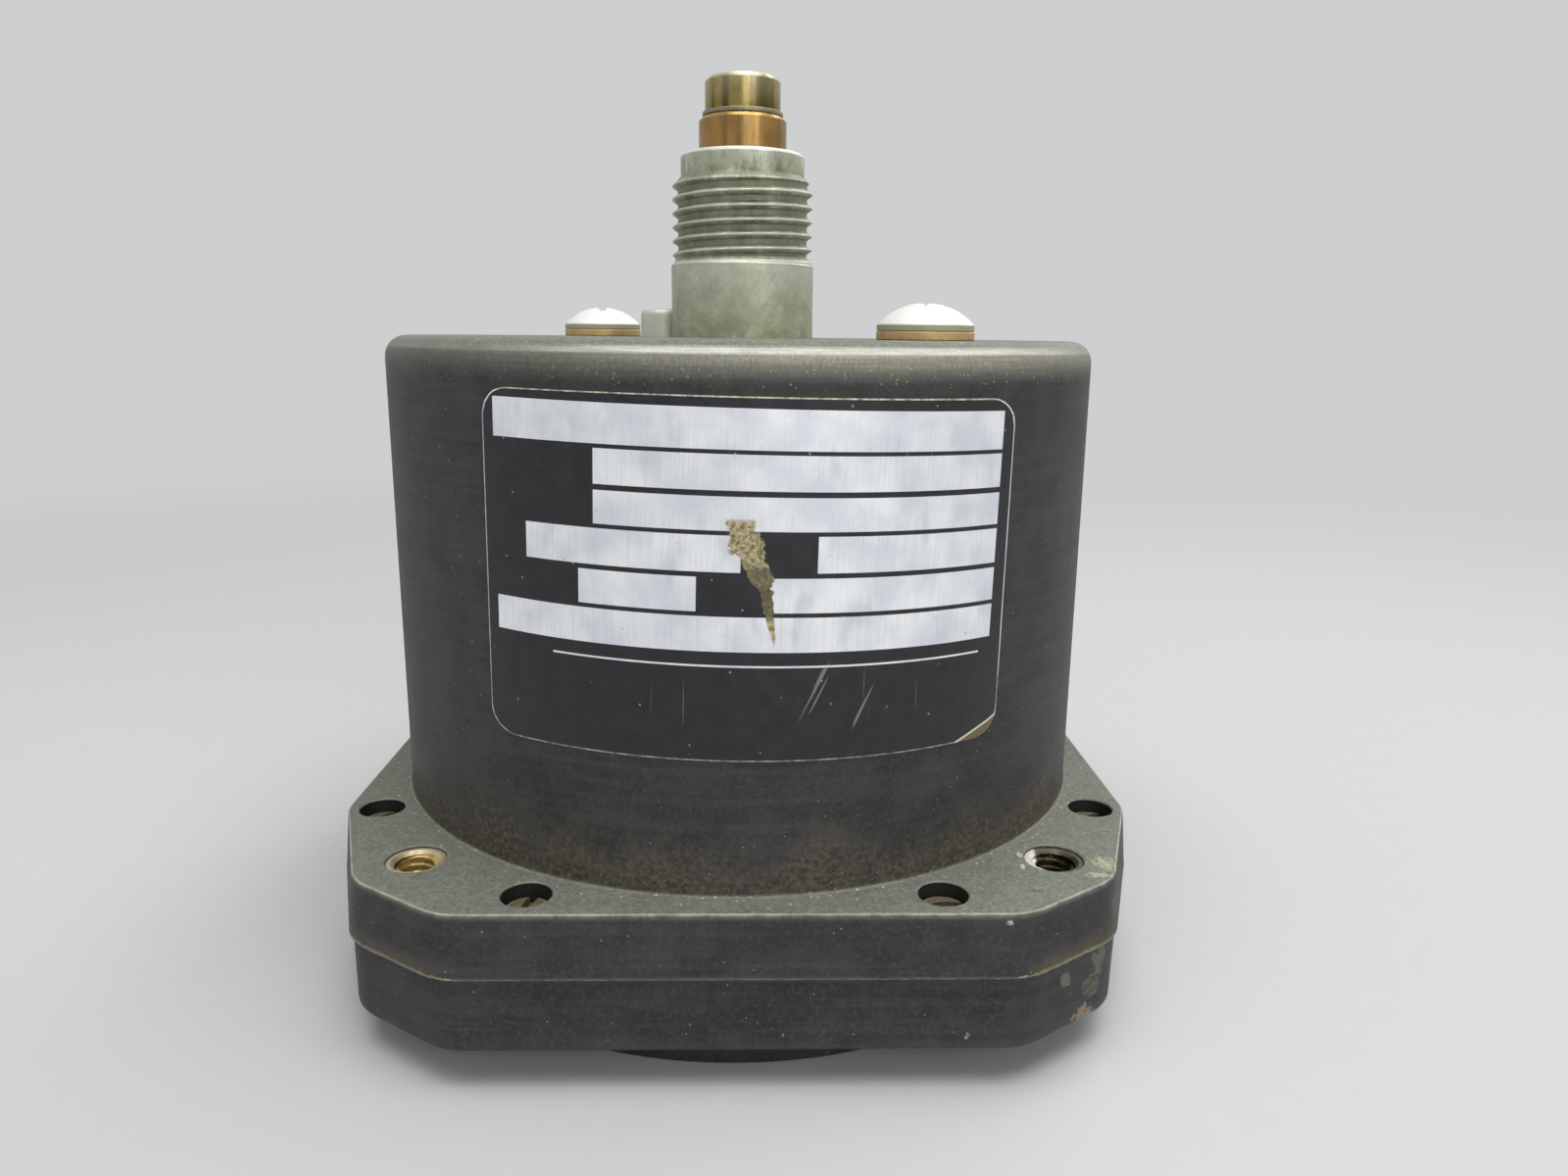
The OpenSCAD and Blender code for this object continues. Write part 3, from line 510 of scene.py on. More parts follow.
def metalFinish(name, look):
    f = Finish(name)
    patchy = f.noise(look.patch, 5, 0.65)
    grain = f.noise(look.grain, 3, 0.6, look.get("stretch", (1, 1, 1)))
    f.tone = f.mix(patchy.window(0.3, 0.7), look.low, look.high)
    f.coat(grain.window(0.3, 0.8, 0.0, 0.4), look.grainTone)
    if "bands" in look:  # painted reflection: light and dark bands that run along the turned side
        size, colour, strength = look.bands
        f.coat(f.noise(size, 1, 0.4, (1, 1, 30)).window(0.42, 0.58, 0.0, strength), colour)
    if "stain" in look:
        colour, size, level = look.stain
        f.coat(f.noise(size, 5, 0.7).window(level, level + 0.18) * 0.75, colour)
    if "thread" in look:  # darker grooves, painted highlights on the crests, painted dark and light streaks of reflection, a pale lug and crumbs at the foot
        t = look.thread
        radius = f.fromAxis()
        inside = f.z.band(t.low, t.high, 0.1)
        turned = f.z.window(t.low - 0.1, t.low + 0.3)
        streak = f.noise(2.0, 5, 0.75, (1, 1, 3))
        # painted reflection: dark and light streaks on the turned part
        f.coat(streak.window(0.53, 0.68) * turned * 0.6, t.dark)
        f.coat(streak.window(0.5, 0.36) * turned * 0.7, t.bright)
        f.coat(radius.window(*t.deep) * inside * 0.7, t.groove)
        # painted highlight on the crests
        f.coat(radius.window(*t.crest) * inside * 0.7, t.bright)
        f.coat(f.z.band(t.low - 0.28, t.low - 0.18, 0.06) * 0.7, t.groove)
        f.coat(radius.window(*t.lugR) * 0.65, t.lug)
        f.coat(f.specks(0.9, 0.2, 0.25) * f.z.window(t.foot + 2.5, t.foot) * 0.7, t.lug)
    if "skirt" in look:  # painted shade on the rim under a dome
        top, colour = look.skirt
        f.coat(f.z.window(top + 0.25, top - 0.05) * 0.85, colour)
    if "dust" in look:
        cover = f.noise(1.4, 4, 0.65).window(0.2, 0.75, 0.35, 1.0)
        f.coat(f.facing()[2].window(0.4, 0.95) * cover, look.dust)
    f.coat(f.wear() * patchy.window(0.2, 0.6, *look.get("edgeBreak", (0.8, 1.0))), look.edge)
    if "dirty" in look:  # painted shade inside the insert at the front right, with a painted highlight crescent on its mouth
        d = look.dirty
        here = (f.x > 0.0) * (f.y < 0.0)
        holeShade = f.z.window(d.top - 0.05, d.top - 0.4, 0.88, 1.0) * f.noise(1.0, 3).window(0.3, 0.6, 0.8, 1.0)
        f.coat(here * holeShade, d.dark)
        crescentHighlight = f.x.window(d.centre - 1.2, d.centre - 1.7) * f.z.window(d.top - 0.9, d.top - 0.6)
        f.coat(here * crescentHighlight, d.bare)
    return f.finish(Roughness=grain.window(0.2, 0.8, *look.rough), Metallic=look.metal,
                    Normal=f.bump(grain, 0.02, 0.5))


flangeH, insertSink = 6.2, 0.25
partingZ = nodeBox("case")[0].z
flangeZ = partingZ + flangeH
backZ = nodeBox("case")[1].z

metalLooks = {
    "stemZinc": Sizes(
        low=(144, 145, 116), high=(182, 183, 156), grainTone=(126, 127, 100), patch=2.2, grain=0.5,
        stain=((142, 140, 100), 2.6, 0.56), edge=(232, 233, 222), rough=(0.38, 0.58), metal=0.35,
        thread=Sizes(low=75.8, high=85.1, deep=(7.62, 7.35), crest=(7.72, 7.88), lugR=(8.3, 8.8), foot=backZ,
                     # of these, the second and third colours are painted reflection streaks, and the third is
                     # also the painted crest highlight
                     groove=(112, 114, 100), dark=(72, 74, 64), bright=(212, 214, 198), lug=(208, 208, 190))),
    "bushBronze": Sizes(
        low=(118, 78, 44), high=(156, 112, 64), grainTone=(92, 58, 34), patch=2.4, grain=0.35,
        # the dark bands are painted reflection along the turned side
        stretch=(1, 1, 8), bands=(1.5, (70, 40, 24), 0.75), edge=(232, 198, 124), rough=(0.2, 0.34),
        metal=0.95),
    "spindleBrass": Sizes(
        low=(124, 105, 48), high=(160, 139, 72), grainTone=(94, 80, 38), patch=2.6, grain=0.3,
        # the dark bands are painted reflection along the turned side
        stretch=(1, 1, 10), bands=(1.5, (60, 52, 22), 0.8), edge=(242, 234, 194), rough=(0.2, 0.34),
        metal=0.95),
    "washerSteel": Sizes(
        low=(108, 104, 86), high=(138, 132, 110), grainTone=(86, 82, 66), patch=1.5, grain=0.2,
        edge=(158, 152, 130), rough=(0.4, 0.55), metal=0.8),
    "screwPlated": Sizes(
        low=(228, 228, 221), high=(243, 243, 238), grainTone=(210, 210, 199), patch=1.6, grain=0.4,
        # the rim colour under the dome is painted shade
        stain=((172, 168, 134), 2.4, 0.64), skirt=(backZ + 1.46, (158, 156, 122)), edge=(246, 246, 242),
        rough=(0.42, 0.55), metal=0.15),
    "washerBrown": Sizes(
        low=(172, 134, 76), high=(202, 164, 104), grainTone=(142, 104, 58), patch=1.4, grain=0.4,
        stain=((146, 144, 108), 2.0, 0.6), edge=(222, 196, 150), rough=(0.4, 0.6), metal=0.45),
    "insertBrass": Sizes(
        low=(176, 146, 82), high=(224, 198, 134), grainTone=(132, 104, 58), patch=1.0, grain=0.3,
        stain=((104, 90, 60), 1.6, 0.62), edge=(190, 185, 160), edgeBreak=(0.1, 1.0), rough=(0.34, 0.52),
        metal=0.55,
        # painted shade inside the front right insert and a painted highlight crescent on its mouth
        dirty=Sizes(top=flangeZ - insertSink, centre=31.43, dark=(44, 39, 30), bare=(240, 239, 231))),
    "screwDull": Sizes(
        low=(96, 88, 66), high=(138, 126, 96), grainTone=(72, 66, 48), patch=1.0, grain=0.3,
        dust=(122, 114, 90), edge=(176, 168, 140), rough=(0.5, 0.7), metal=0.4),
}
phenolicLook = Sizes(
    dark=(33, 33, 35), light=(52, 51, 51), grain=(82, 80, 76), speck=(200, 195, 175), rough=(0.5, 0.68),
    dustLow=(104, 106, 95), dustHigh=(138, 140, 127), dustThin=(86, 88, 79),
    footRingR=(42.6, 39.8), footRingZ=(flangeZ + 2.0, flangeZ + 1.0),
    crustWidth=(0.1, 0.4), crustFront=(180, 173, 160), crustLeft=(140, 132, 102), crustRight=(146, 150, 100),
    crustDark=(92, 84, 62), seep=(92, 84, 60), seepRise=2.4,
    # the last colour is painted shade for the screw recess walls
    worn=(178, 180, 160), wearStrength=0.85, pit=(17, 16, 15),
)
# patches: centre, half size, colour, size of the grain, level from which it shows
casePatches = [
    ((36.3, -32.6, 17.7), (1.7, 2.2, 1.0), (184, 182, 150), 0.5, 0.26),  # chips by the right insert
    ((34.7, -35.1, 17.7), (1.9, 0.8, 1.0), (178, 177, 148), 0.5, 0.22),
    ((27.9, -33.4, 17.7), (0.35, 0.9, 1.0), (206, 204, 184), 0.7, 0.1),
    ((28.2, -30.7, 17.7), (0.4, 0.9, 1.0), (196, 194, 172), 0.7, 0.1),
    ((28.1, -38.2, 17.7), (1.8, 0.12, 1.0), (60, 58, 52), 0.8, 0.05),
    ((24.7, -42.8, 16.8), (0.5, 0.6, 0.4), (190, 190, 182), 0.6, 0.1),
    ((36.6, -35.2, 14.6), (1.5, 1.5, 1.8), (80, 88, 78), 0.45, 0.12),
    # painted highlight: a reflection along the right edge of the flange's side
    ((42.2, -19.4, 14.4), (1.0, 1.2, 3.4), (106, 112, 100), 0.5, 0.16),
]
bezelPatches = [
    ((34.8, -36.8, 9.7), (1.6, 1.7, 2.4), (94, 102, 80), 0.9, 0.05),  # scuffs on the right corner
    ((30.9, -39.5, 9.3), (0.9, 0.9, 1.2), (98, 106, 84), 1.4, 0.0),
    ((33.9, -37.4, 7.2), (1.9, 1.8, 1.5), (90, 94, 72), 1.0, 0.1),
    ((33.4, -37.8, 4.7), (2.2, 2.0, 1.4), (146, 126, 108), 0.8, 0.1),
    ((21.3, -42.8, 5.5), (0.35, 0.6, 0.5), (176, 176, 168), 0.6, 0.05),
]
finishes = Sizes({name: metalFinish(name, look) for name, look in metalLooks.items()})
finishes["casePhenolic"] = phenolicFinish("casePhenolic", Sizes(
    phenolicLook, patches=casePatches,
    footDust=(98, 89, 68), footRise=(flangeZ - 0.02, flangeZ + 7.5), footLine=(124, 122, 104),
    footLineR=(39.75, 39.6), shoulder=(63.8, 66.42, 67.15), rubbed=(170, 167, 149), rubbedX=14.0,
    # the last two: painted highlight on the back edge's rounding and the place where it is strongest
    shine=(222, 224, 208), shineX=7.0))
finishes["bezelPhenolic"] = phenolicFinish("bezelPhenolic", Sizes(
    phenolicLook, dark=(29, 29, 32), light=(47, 47, 49), patches=bezelPatches))
print("main finishes ready")


# Outline of the flange and the bezel, and the case

flange = Sizes(
    sideFlat=38.8, endFlat=53.2, cornerX=36.2, cornerY=35.8, cornerR=6.5, cornerSteps=8,
    draft=0.6, draftLeft=(0.9, 0.12),  # share of the draft that is left low and high on the wall
    topBevel=0.18, topWear=(0.55, 1.0, 1.0, 0.6), partBevel=0.1, partWear=0.35, wearBand=0.5,
    barrelR=39.35, boreR=35.35, backWall=4.5, backEdgeR=2.3, backSteps=9, footR=0.35, footSteps=3,
    barrelRings=(6, 14, 30), backBand=4, around=144, holePoints=28, holeBevel=0.16, holeWear=[0.7, 0.2],
    screwR=43.15, screwAngle=26.5, headHoleR=2.37, shankHoleR=1.55, headSink=1.1, headH=2.4,
    insertPcr=44.45, insertHoleR=2.92, backScrewR=26.25, backScrewAngle=-45.0, backHoleR=2.2,
    stemHoleR=8.15, stemSteps=60, lugHoleR=2.75, lugSteps=24, lugOut=10.4, lugAngle=155.0,
)
flange["topX"], flange["topY"] = [high - flange.draft for high in nodeBox("case")[1][:2]]
innerZ = backZ - flange.backWall
screwPlaces = [polar(flange.screwR, quarter + side * flange.screwAngle)
               for quarter in (0, 90, 180, 270) for side in (-1, 1)]
insertPlaces = [polar(flange.insertPcr, angle) for angle in (45, 135, 225, 315)]


def outlineRing(inset, z):
    # the rounded outline, moved in by inset, at height z
    c = flange
    quarter = [(c.topX, c.sideFlat / 2), (c.cornerX, c.cornerY), (c.endFlat / 2, c.topY)]
    half = quarter + [(-x, y) for x, y in reversed(quarter)]
    corners = [Vector(p) for p in half + [(-x, -y) for x, y in half]]
    radius, steps = c.cornerR, c.cornerSteps
    points = []
    for before, here, after in zip(corners[-1:] + corners[:-1], corners, corners[1:] + corners[:1]):
        a, b = (before - here).normalized(), (after - here).normalized()
        opening = a.angle(b) / 2
        middle = here + (a + b).normalized() * radius / sin(opening)
        start = here + a * radius / tan(opening) - middle
        first = atan2(start.y, start.x)
        for i in range(steps + 1):
            t = first + (pi - 2 * opening) * i / steps
            x, y = (radius - inset) * cos(t), (radius - inset) * sin(t)
            points.append((middle.x + x, middle.y + y, z))
    return points


def outlineWall(s, wall):
    # rings of (inset, height, wear) on the outline, joined one to the next
    rings = [s.ring(outlineRing(inset, z)) for inset, z, _ in wall]
    for a, b, low, high in zip(rings, rings[1:], wall, wall[1:]):
        s.skin(a, b, low[2], high[2])
    return rings


def keyholeRing(z):
    # hole for the stem joined with the hole for its key lug
    stem, lug, out, turn = flange.stemHoleR, flange.lugHoleR, flange.lugOut, flange.lugAngle
    along = (stem ** 2 - lug ** 2 + out ** 2) / (2 * out)
    stemOpen = degrees(acos(along / stem))
    lugOpen = degrees(acos((out - along) / lug))
    points = []
    arcs = [((0.0, 0.0), stem, turn, stemOpen, flange.stemSteps),
            (polar(out, turn), lug, turn + 180, lugOpen, flange.lugSteps)]
    for centre, radius, first, opening, steps in arcs:
        for i in range(steps):
            x, y = polar(radius, first + opening + (360 - 2 * opening) * i / steps)
            points.append((centre[0] + x, centre[1] + y, z))
    return points


def drill(s, place, radius, z, down, rest, wear=0.0):
    # hole with a bevelled mouth at height z and further (radius, height) rings: its first and last ring
    bevel, count = flange.holeBevel, flange.holePoints
    mouth, lip = s.lathe([(radius + bevel, z), (radius, z + down * bevel)], count, flange.holeWear, place)
    hole = s.lathe([(radius, z), *rest], count, [wear] * (len(rest) + 1), place, first=lip)
    return mouth, hole[-1]


def makeCase(c):
    s = Shape()
    n = c.around

    # flange wall from the parting line to the top bevel
    low, high = c.draftLeft
    wall = [(c.partBevel - c.draft, partingZ, c.partWear), (-c.draft, partingZ + c.partBevel, c.partWear),
            (-c.draft * low, partingZ + c.partBevel + c.wearBand * 0.6, 0.0),
            (-c.draft * high, flangeZ - c.topBevel - c.wearBand, 0.0)]
    for i, wear in enumerate(c.topWear):
        t = radians(90 * i / (len(c.topWear) - 1))
        wall.append((c.topBevel * (1 - cos(t)), flangeZ - c.topBevel * (1 - sin(t)), wear))
    rings = outlineWall(s, wall)

    # barrel: outside, rounded back edge and bore
    r, back = c.barrelR, c.backEdgeR
    foot = s.ring(circle(r + c.footR, flangeZ, n))
    outside = arcProfile(r + c.footR, flangeZ + c.footR, c.footR, 270, 180, c.footSteps)
    outside += [(r, flangeZ + rise) for rise in c.barrelRings] + [(r, backZ - back - c.backBand)]
    outside += arcProfile(r - back, backZ - back, back, 0, 90, c.backSteps)
    edge = s.ring(circle(r - back, backZ, n))
    s.lathe(outside, n, first=foot, last=edge)
    boreFront, boreBack = s.lathe([(c.boreR, partingZ), (c.boreR, innerZ)], n)

    # screw holes and insert holes through the flange
    seatZ = flangeZ - c.headSink - c.headH
    screwRings = [(c.headHoleR, seatZ), (c.shankHoleR, seatZ), (c.shankHoleR, partingZ)]
    # the walls of the screw recesses carry -1, which paints them in near black shade
    holes = [drill(s, place, c.headHoleR, flangeZ, -1, screwRings, -1.0) for place in screwPlaces]
    insertRings = [(c.insertHoleR, partingZ)]
    holes += [drill(s, place, c.insertHoleR, flangeZ, -1, insertRings) for place in insertPlaces]
    s.cap(rings[-1], [foot, *[mouth for mouth, end in holes]])
    s.cap(rings[0], [boreFront, *[end for mouth, end in holes]])

    # back wall with the two screw holes and the stem hole
    holes = []
    for turn in (0, 180):
        place = polar(c.backScrewR, c.backScrewAngle + turn)
        holes.append([s.ring(circle(c.backHoleR, z, c.holePoints, place)) for z in (backZ, innerZ)])
    holes.append([s.ring(keyholeRing(z)) for z in (backZ, innerZ)])
    for outer, inner in holes:
        s.skin(outer, inner)
    s.cap(edge, [outer for outer, inner in holes])
    s.cap(boreBack, [inner for outer, inner in holes])
    mount(s.piece("caseShell", finishes.casePhenolic), "housing", "case_phenolic", "case")


makeCase(flange)
print("case made")


bezel = Sizes(
    step=0.4, frontEdgeR=0.5, frontSteps=5, frontWear=0.12, frontBand=1.2, partWear=0.2,
    lipR=38.9, lipEdgeR=0.3, lipSteps=5, lipFoot=0.2, lipFootSteps=3, windowR=34.0, ledge=2.4, seatR=36.55,
    innerEdge=0.3, screwHoleR=2.2, threadHoleR=1.42, bite=5.05, height=7.5,
)


def makeBezel(b, c):
    s = Shape()
    n = c.around
    panelZ = partingZ - b.height
    out = b.step - c.draft  # inset of the bezel's wall
    r = b.frontEdgeR
    wall = []
    for i in range(b.frontSteps + 1):
        t = pi / 2 * i / b.frontSteps
        wall.append((out + r * (1 - sin(t)), panelZ + r * (1 - cos(t)), b.frontWear if i else 0.0))
    wall += [(out, panelZ + r + b.frontBand, 0.0), (out, partingZ - c.partBevel - c.wearBand, 0.0),
             (out, partingZ - c.partBevel, b.partWear), (out + c.partBevel, partingZ, b.partWear)]
    rings = outlineWall(s, wall)

    # lip, ledge and the seat of the glass
    foot = s.ring(circle(b.lipR + b.lipFoot, panelZ, n))
    seatTop = s.ring(circle(b.seatR, partingZ, n))
    lip = arcProfile(b.lipR + b.lipFoot, panelZ - b.lipFoot, b.lipFoot, 90, 180, b.lipFootSteps)
    lip += arcProfile(b.lipR - b.lipEdgeR, b.lipEdgeR, b.lipEdgeR, 0, -90, b.lipSteps)
    lip += [(b.windowR + b.innerEdge, 0.0), (b.windowR, b.innerEdge), (b.windowR, b.ledge),
            (b.seatR, b.ledge), (b.seatR, partingZ)]
    s.lathe(lip, n, first=foot, last=seatTop)

    frontHoles, backHoles = [foot], [seatTop]
    for place in insertPlaces:
        mouth, end = drill(s, place, b.screwHoleR, panelZ, 1, [(b.screwHoleR, partingZ)])
        frontHoles.append(mouth)
        backHoles.append(end)
    for place in screwPlaces:
        blind = [(b.threadHoleR, partingZ), (b.threadHoleR, partingZ - b.bite)]
        end, floor = s.lathe(blind, c.holePoints, centre=place)
        s.cap(floor)
        backHoles.append(end)
    s.cap(rings[0], frontHoles)
    s.cap(rings[-1], backHoles)
    mount(s.piece("bezelRing", finishes.bezelPhenolic), "housing", "bezel_phenolic", "bezel")


makeBezel(bezel, flange)
print("bezel made")


# Geometry Nodes trees

class Recipe(Graph):
    def __init__(self, name, **kinds):
        # kinds: the names of the inputs of each kind of socket
        super().__init__(bpy.data.node_groups.new(name, "GeometryNodeTree"))
        new = self.tree.interface.new_socket
        self.sockets = {label: new(name=label, in_out="INPUT", socket_type=f"NodeSocket{kind}")
                        for kind, labels in kinds.items() for label in labels.split()}
        new(name="Geometry", in_out="OUTPUT", socket_type="NodeSocketGeometry")
        inlet = self.add("NodeGroupInput").outputs
        self.inputs = Sizes({label: Value(self, inlet[label]) for label in self.sockets})

    def around(self, radius, angle, z=0.0):
        x, y = radius * angle.calc("COSINE"), radius * angle.calc("SINE")
        return self.value("ShaderNodeCombineXYZ", {0: x, 1: y, 2: z})

    def close(self, shape):
        real = self.value("GeometryNodeRealizeInstances", {"Geometry": shape})
        coat = self.value("GeometryNodeSetMaterial", {"Geometry": real, "Material": self.inputs.Material})
        self.add("NodeGroupOutput", {0: coat})
        return self

    def run(self, name, **values):
        # a new object with the plain result for these inputs
        obj = newObject(name, bpy.data.meshes.new(name))
        tool = obj.modifiers.new("recipe", "NODES")
        tool.node_group = self.tree
        for label, value in values.items():
            tool[self.sockets[label].identifier] = value
        return settle(obj)


def threadRecipe():
    # grid wrapped round the axis, its radius driven by a helix
    r = Recipe("threadHelix", Float="Crest Root Pitch Start Length RunOut LeadRadius Phase",
               Int="Around Along", Material="Material")
    i = r.inputs
    grid = r.value("GeometryNodeMeshGrid", {"Size X": 1.0, "Size Y": 1.0, "Vertices X": i.Around,
                                            "Vertices Y": i.Along})
    x, y, _ = r.parts(r.value("GeometryNodeInputPosition"))
    turn = x + 0.5
    rise = (y + 0.5) * i.Length
    phase = (rise / i.Pitch - turn + i.Phase).calc("FRACT")
    flank = abs(phase * 2.0 - 1.0).window(0.36, 0.93, kind="LINEAR")
    hollow = (1.0 - flank) * rise.window(0.0, i.RunOut, kind="LINEAR")
    radius = i.Crest - hollow * (i.Crest - i.Root)
    radius = radius.calc("MINIMUM", i.LeadRadius + (i.Length - rise))  # lead-in cone at the end
    place = r.around(radius, turn * (2 * pi), i.Start + rise)
    moved = r.value("GeometryNodeSetPosition", {"Geometry": grid, "Position": place})
    return r.close(r.value("GeometryNodeMergeByDistance", {"Geometry": moved, "Distance": 1e-6}))


def ringRecipe():
    # copies of one object on a circle, each turned with its place and by its own extra turn
    r = Recipe("ringOfCopies", Object="Source", Int="Count", Float="Radius First Step Turn TurnStep",
               Material="Material")
    i = r.inputs
    index = r.value("GeometryNodeInputIndex")
    angle = i.First + index * i.Step
    spots = r.value("GeometryNodePoints", {"Count": i.Count, "Position": r.around(i.Radius, angle)})
    spin = r.value("ShaderNodeCombineXYZ", {2: angle + (i.Turn + index * i.TurnStep)})
    source = r.value("GeometryNodeObjectInfo", {"Object": i.Source}, "Geometry")
    return r.close(r.value("GeometryNodeInstanceOnPoints", {"Points": spots, "Instance": source,
                                                            "Rotation": spin}))


threads = threadRecipe()
copies = ringRecipe()


def ringOf(source, name, count, radius, first, step, turn=0.0, turnStep=0.0):
    # first and step in degrees, the extra turns in radians
    return copies.run(name, Source=source, Material=source.data.materials[0], Count=count, Radius=radius * mm,
                      First=radians(first), Step=radians(step), Turn=turn, TurnStep=turnStep)


# Slotted screws that hold the bezel

def shankProfile(look, endZ, seatZ):
    return [(0, endZ), (look.shankR - look.tip, endZ), (look.shankR, endZ + look.tip), (look.shankR, seatZ)]


def domeProfile(radius, rise, topZ, shares):
    # points of a flat dome at these shares of its radius
    ball = (radius ** 2 + rise ** 2) / (2 * rise)
    return [(radius * s, topZ - ball + sqrt(ball ** 2 - (radius * s) ** 2)) for s in shares]


bezelScrew = Sizes(
    headR=2.2, headH=2.4, crown=0.4, crownRings=(0.94, 0.75, 0.5, 0.25, 0), shankR=1.4, tip=0.3, bite=5.0,
    edge=0.18, slotW=0.85, slotDepth=1.0, slotReach=1.5, slotOver=1, points=32,
    topZ=flangeZ - flange.headSink,
    turns=(58, 112.5), turnStep=47,  # slot directions, degrees
)


def makeBezelScrews(look):
    s = Shape()
    headR, topZ = look.headR, look.topZ
    seatZ = topZ - look.headH
    profile = shankProfile(look, partingZ - look.bite, seatZ)
    profile += [(headR, seatZ), (headR, topZ - look.crown - look.edge)]
    profile += domeProfile(headR, look.crown, topZ, look.crownRings)
    s.lathe(profile, look.points, [0, 0, 0, 0, 0, 0.6, 0.9, 0, 0, 0, 0])
    source = s.piece("bezelScrewSource", finishes.screwDull)
    slot = Shape()
    half, reach = look.slotW / 2, headR * look.slotReach
    corners = [(-reach, -half), (reach, -half), (reach, half), (-reach, half)]
    slot.prism([(*p, topZ - look.slotDepth) for p in corners], [(*p, topZ + look.slotOver) for p in corners])
    carve(source, slot.piece("slotCutter"))
    rows = Shape()
    for i, side in enumerate((-1, 1)):
        rows.absorb(ringOf(source, f"bezelScrewRow{i}", 4, flange.screwR, side * flange.screwAngle, 90,
                           radians(look.turns[i]), radians(look.turnStep)))
    discard(source)
    mount(rows.piece("slottedScrews", finishes.screwDull), "housing", "screw_steel", "bezel_screws")


makeBezelScrews(bezelScrew)


# Threaded inserts in the corners

insert = Sizes(
    outerR=2.9, topZ=flangeZ - insertSink, mouthR=2.45, mouthDepth=0.35, holeR=2.1, minorR=1.72, pitch=0.794,
    runOut=0.4, points=40, along=64, edge=0.08, startZ=partingZ + 0.02, turn=0.4, turnStep=1.1,
)


def makeInserts(look):
    s = Shape()
    topZ, startZ = look.topZ, look.startZ
    mouthZ = topZ - look.mouthDepth
    profile = [(look.holeR, startZ), (look.outerR, startZ), (look.outerR, topZ - look.edge),
               (look.outerR - look.edge, topZ), (look.mouthR, topZ), (look.holeR, mouthZ)]
    s.lathe(profile, look.points, [0, 0, 0.6, 0.9, 0.9, 0.25])
    s.absorb(threads.run("insertThread", Crest=look.holeR * mm, Root=look.minorR * mm, Pitch=look.pitch * mm,
                         Start=startZ * mm, Length=(mouthZ - startZ) * mm, RunOut=look.runOut * mm,
                         LeadRadius=look.holeR * mm, Phase=0.0, Around=look.points + 1, Along=look.along,
                         Material=finishes.insertBrass))
    source = s.piece("insertSource", finishes.insertBrass)
    done = ringOf(source, "threadedInserts", 4, flange.insertPcr, 45, 90, look.turn, look.turnStep)
    discard(source)
    mount(done, "housing", "insert_brass", "mounting_inserts")


makeInserts(insert)
print("bezel screws and inserts made")


# Back screws with a cross recess, on brown washers

backScrew = Sizes(
    headR=4.875, rim=0.6, rimEdge=0.12, dome=2.2, domeRings=(0.96, 0.9, 0.8, 0.65, 0.5, 0.35, 0.2, 0),
    domeWear=0.5, shankR=2.05, tip=0.4, bite=6.0, points=56,
    turn=20, turnStep=0.5,  # degrees, then radians from one screw to the next
    recessW=1.15, recessR=2.5, recessDepth=1.5, recessFloor=(0.62, 0.8), recessMouth=1.1, recessOver=0.6,
    washerT=0.86, washerR=4.9, washerHole=2.2, washerEdge=0.1, washerTurn=0.3, washerTurnStep=1.0,
)


def crossCutter(look, topZ):
    # plus-shaped prism, narrower at its floor
    arm, half = look.recessR, look.recessW / 2
    quarter = [(arm, -half), (arm, half), (half, half)]
    points = []
    for ahead, aside in ((1, 0), (0, 1), (-1, 0), (0, -1)):
        points += [(x * ahead - y * aside, x * aside + y * ahead) for x, y in quarter]
    (floorX, floorY), mouth = look.recessFloor, look.recessMouth
    s = Shape()
    s.prism([(x * floorX, y * floorY, topZ - look.recessDepth) for x, y in points],
            [(x * mouth, y * mouth, topZ + look.recessOver) for x, y in points])
    return s.piece("crossCutter")


def washerShape(hole, outer, low, high, edge, count, wears):
    s = Shape()
    turned = s.lathe([(hole, low), (outer - edge, low), (outer, low + edge), (outer, high - edge),
                      (outer - edge, high), (hole, high)], count, wears)
    s.skin(turned[-1], turned[0])
    return s


def makeBackScrews(look):
    headR, seatZ = look.headR, backZ + look.washerT
    rimZ, topZ = seatZ + look.rim, seatZ + look.rim + look.dome
    profile = shankProfile(look, innerZ - look.bite, seatZ)
    profile += [(headR - look.rimEdge, seatZ), (headR, seatZ + look.rimEdge), (headR, rimZ)]
    profile += domeProfile(headR, look.dome, topZ, look.domeRings)
    count = len(look.domeRings)
    s = Shape()
    s.lathe(profile, look.points, [0] * (len(profile) - count) + [look.domeWear] * count)
    source = s.piece("backScrewSource", finishes.screwPlated)
    carve(source, crossCutter(look, topZ))
    place = 2, flange.backScrewR, flange.backScrewAngle, 180
    screws = ringOf(source, "domedScrews", *place, radians(look.turn), look.turnStep)
    discard(source)
    mount(screws, "housing", "screw_bright", "case_screws")

    s = washerShape(look.washerHole, look.washerR, backZ, seatZ, look.washerEdge, look.points,
                    [0, 0, 0.3, 0.5, 0.5, 0])
    source = s.piece("backWasherSource", finishes.washerBrown)
    washers = ringOf(source, "brownWashers", *place, look.washerTurn, look.washerTurnStep)
    discard(source)
    mount(washers, "housing", "washer_copper", "screw_washers")


makeBackScrews(backScrew)
print("back screws made")


# Drive stem with its coupling thread and key lug

stem = Sizes(
    plainR=8.1, threadR=7.9375, rootR=7.3, pitch=1.5, phase=0.8667, runOut=0.9, leadR=6.95, leadChamfer=0.4,
    stemH=8.1, threadH=9.4, leadH=2.5, shoulder=0.2, around=144, along=120,
    boreR=4.92, seatDepth=12.0, spigotR=7.0, spigotZ=54.5, shaftR=4.0, frontSeat=7.5,
    lugR=2.7, lugH=3.3, lugEdge=0.8, lugEdgeSteps=6, lugFootZ=innerZ + 0.01, lugPoints=40,
)


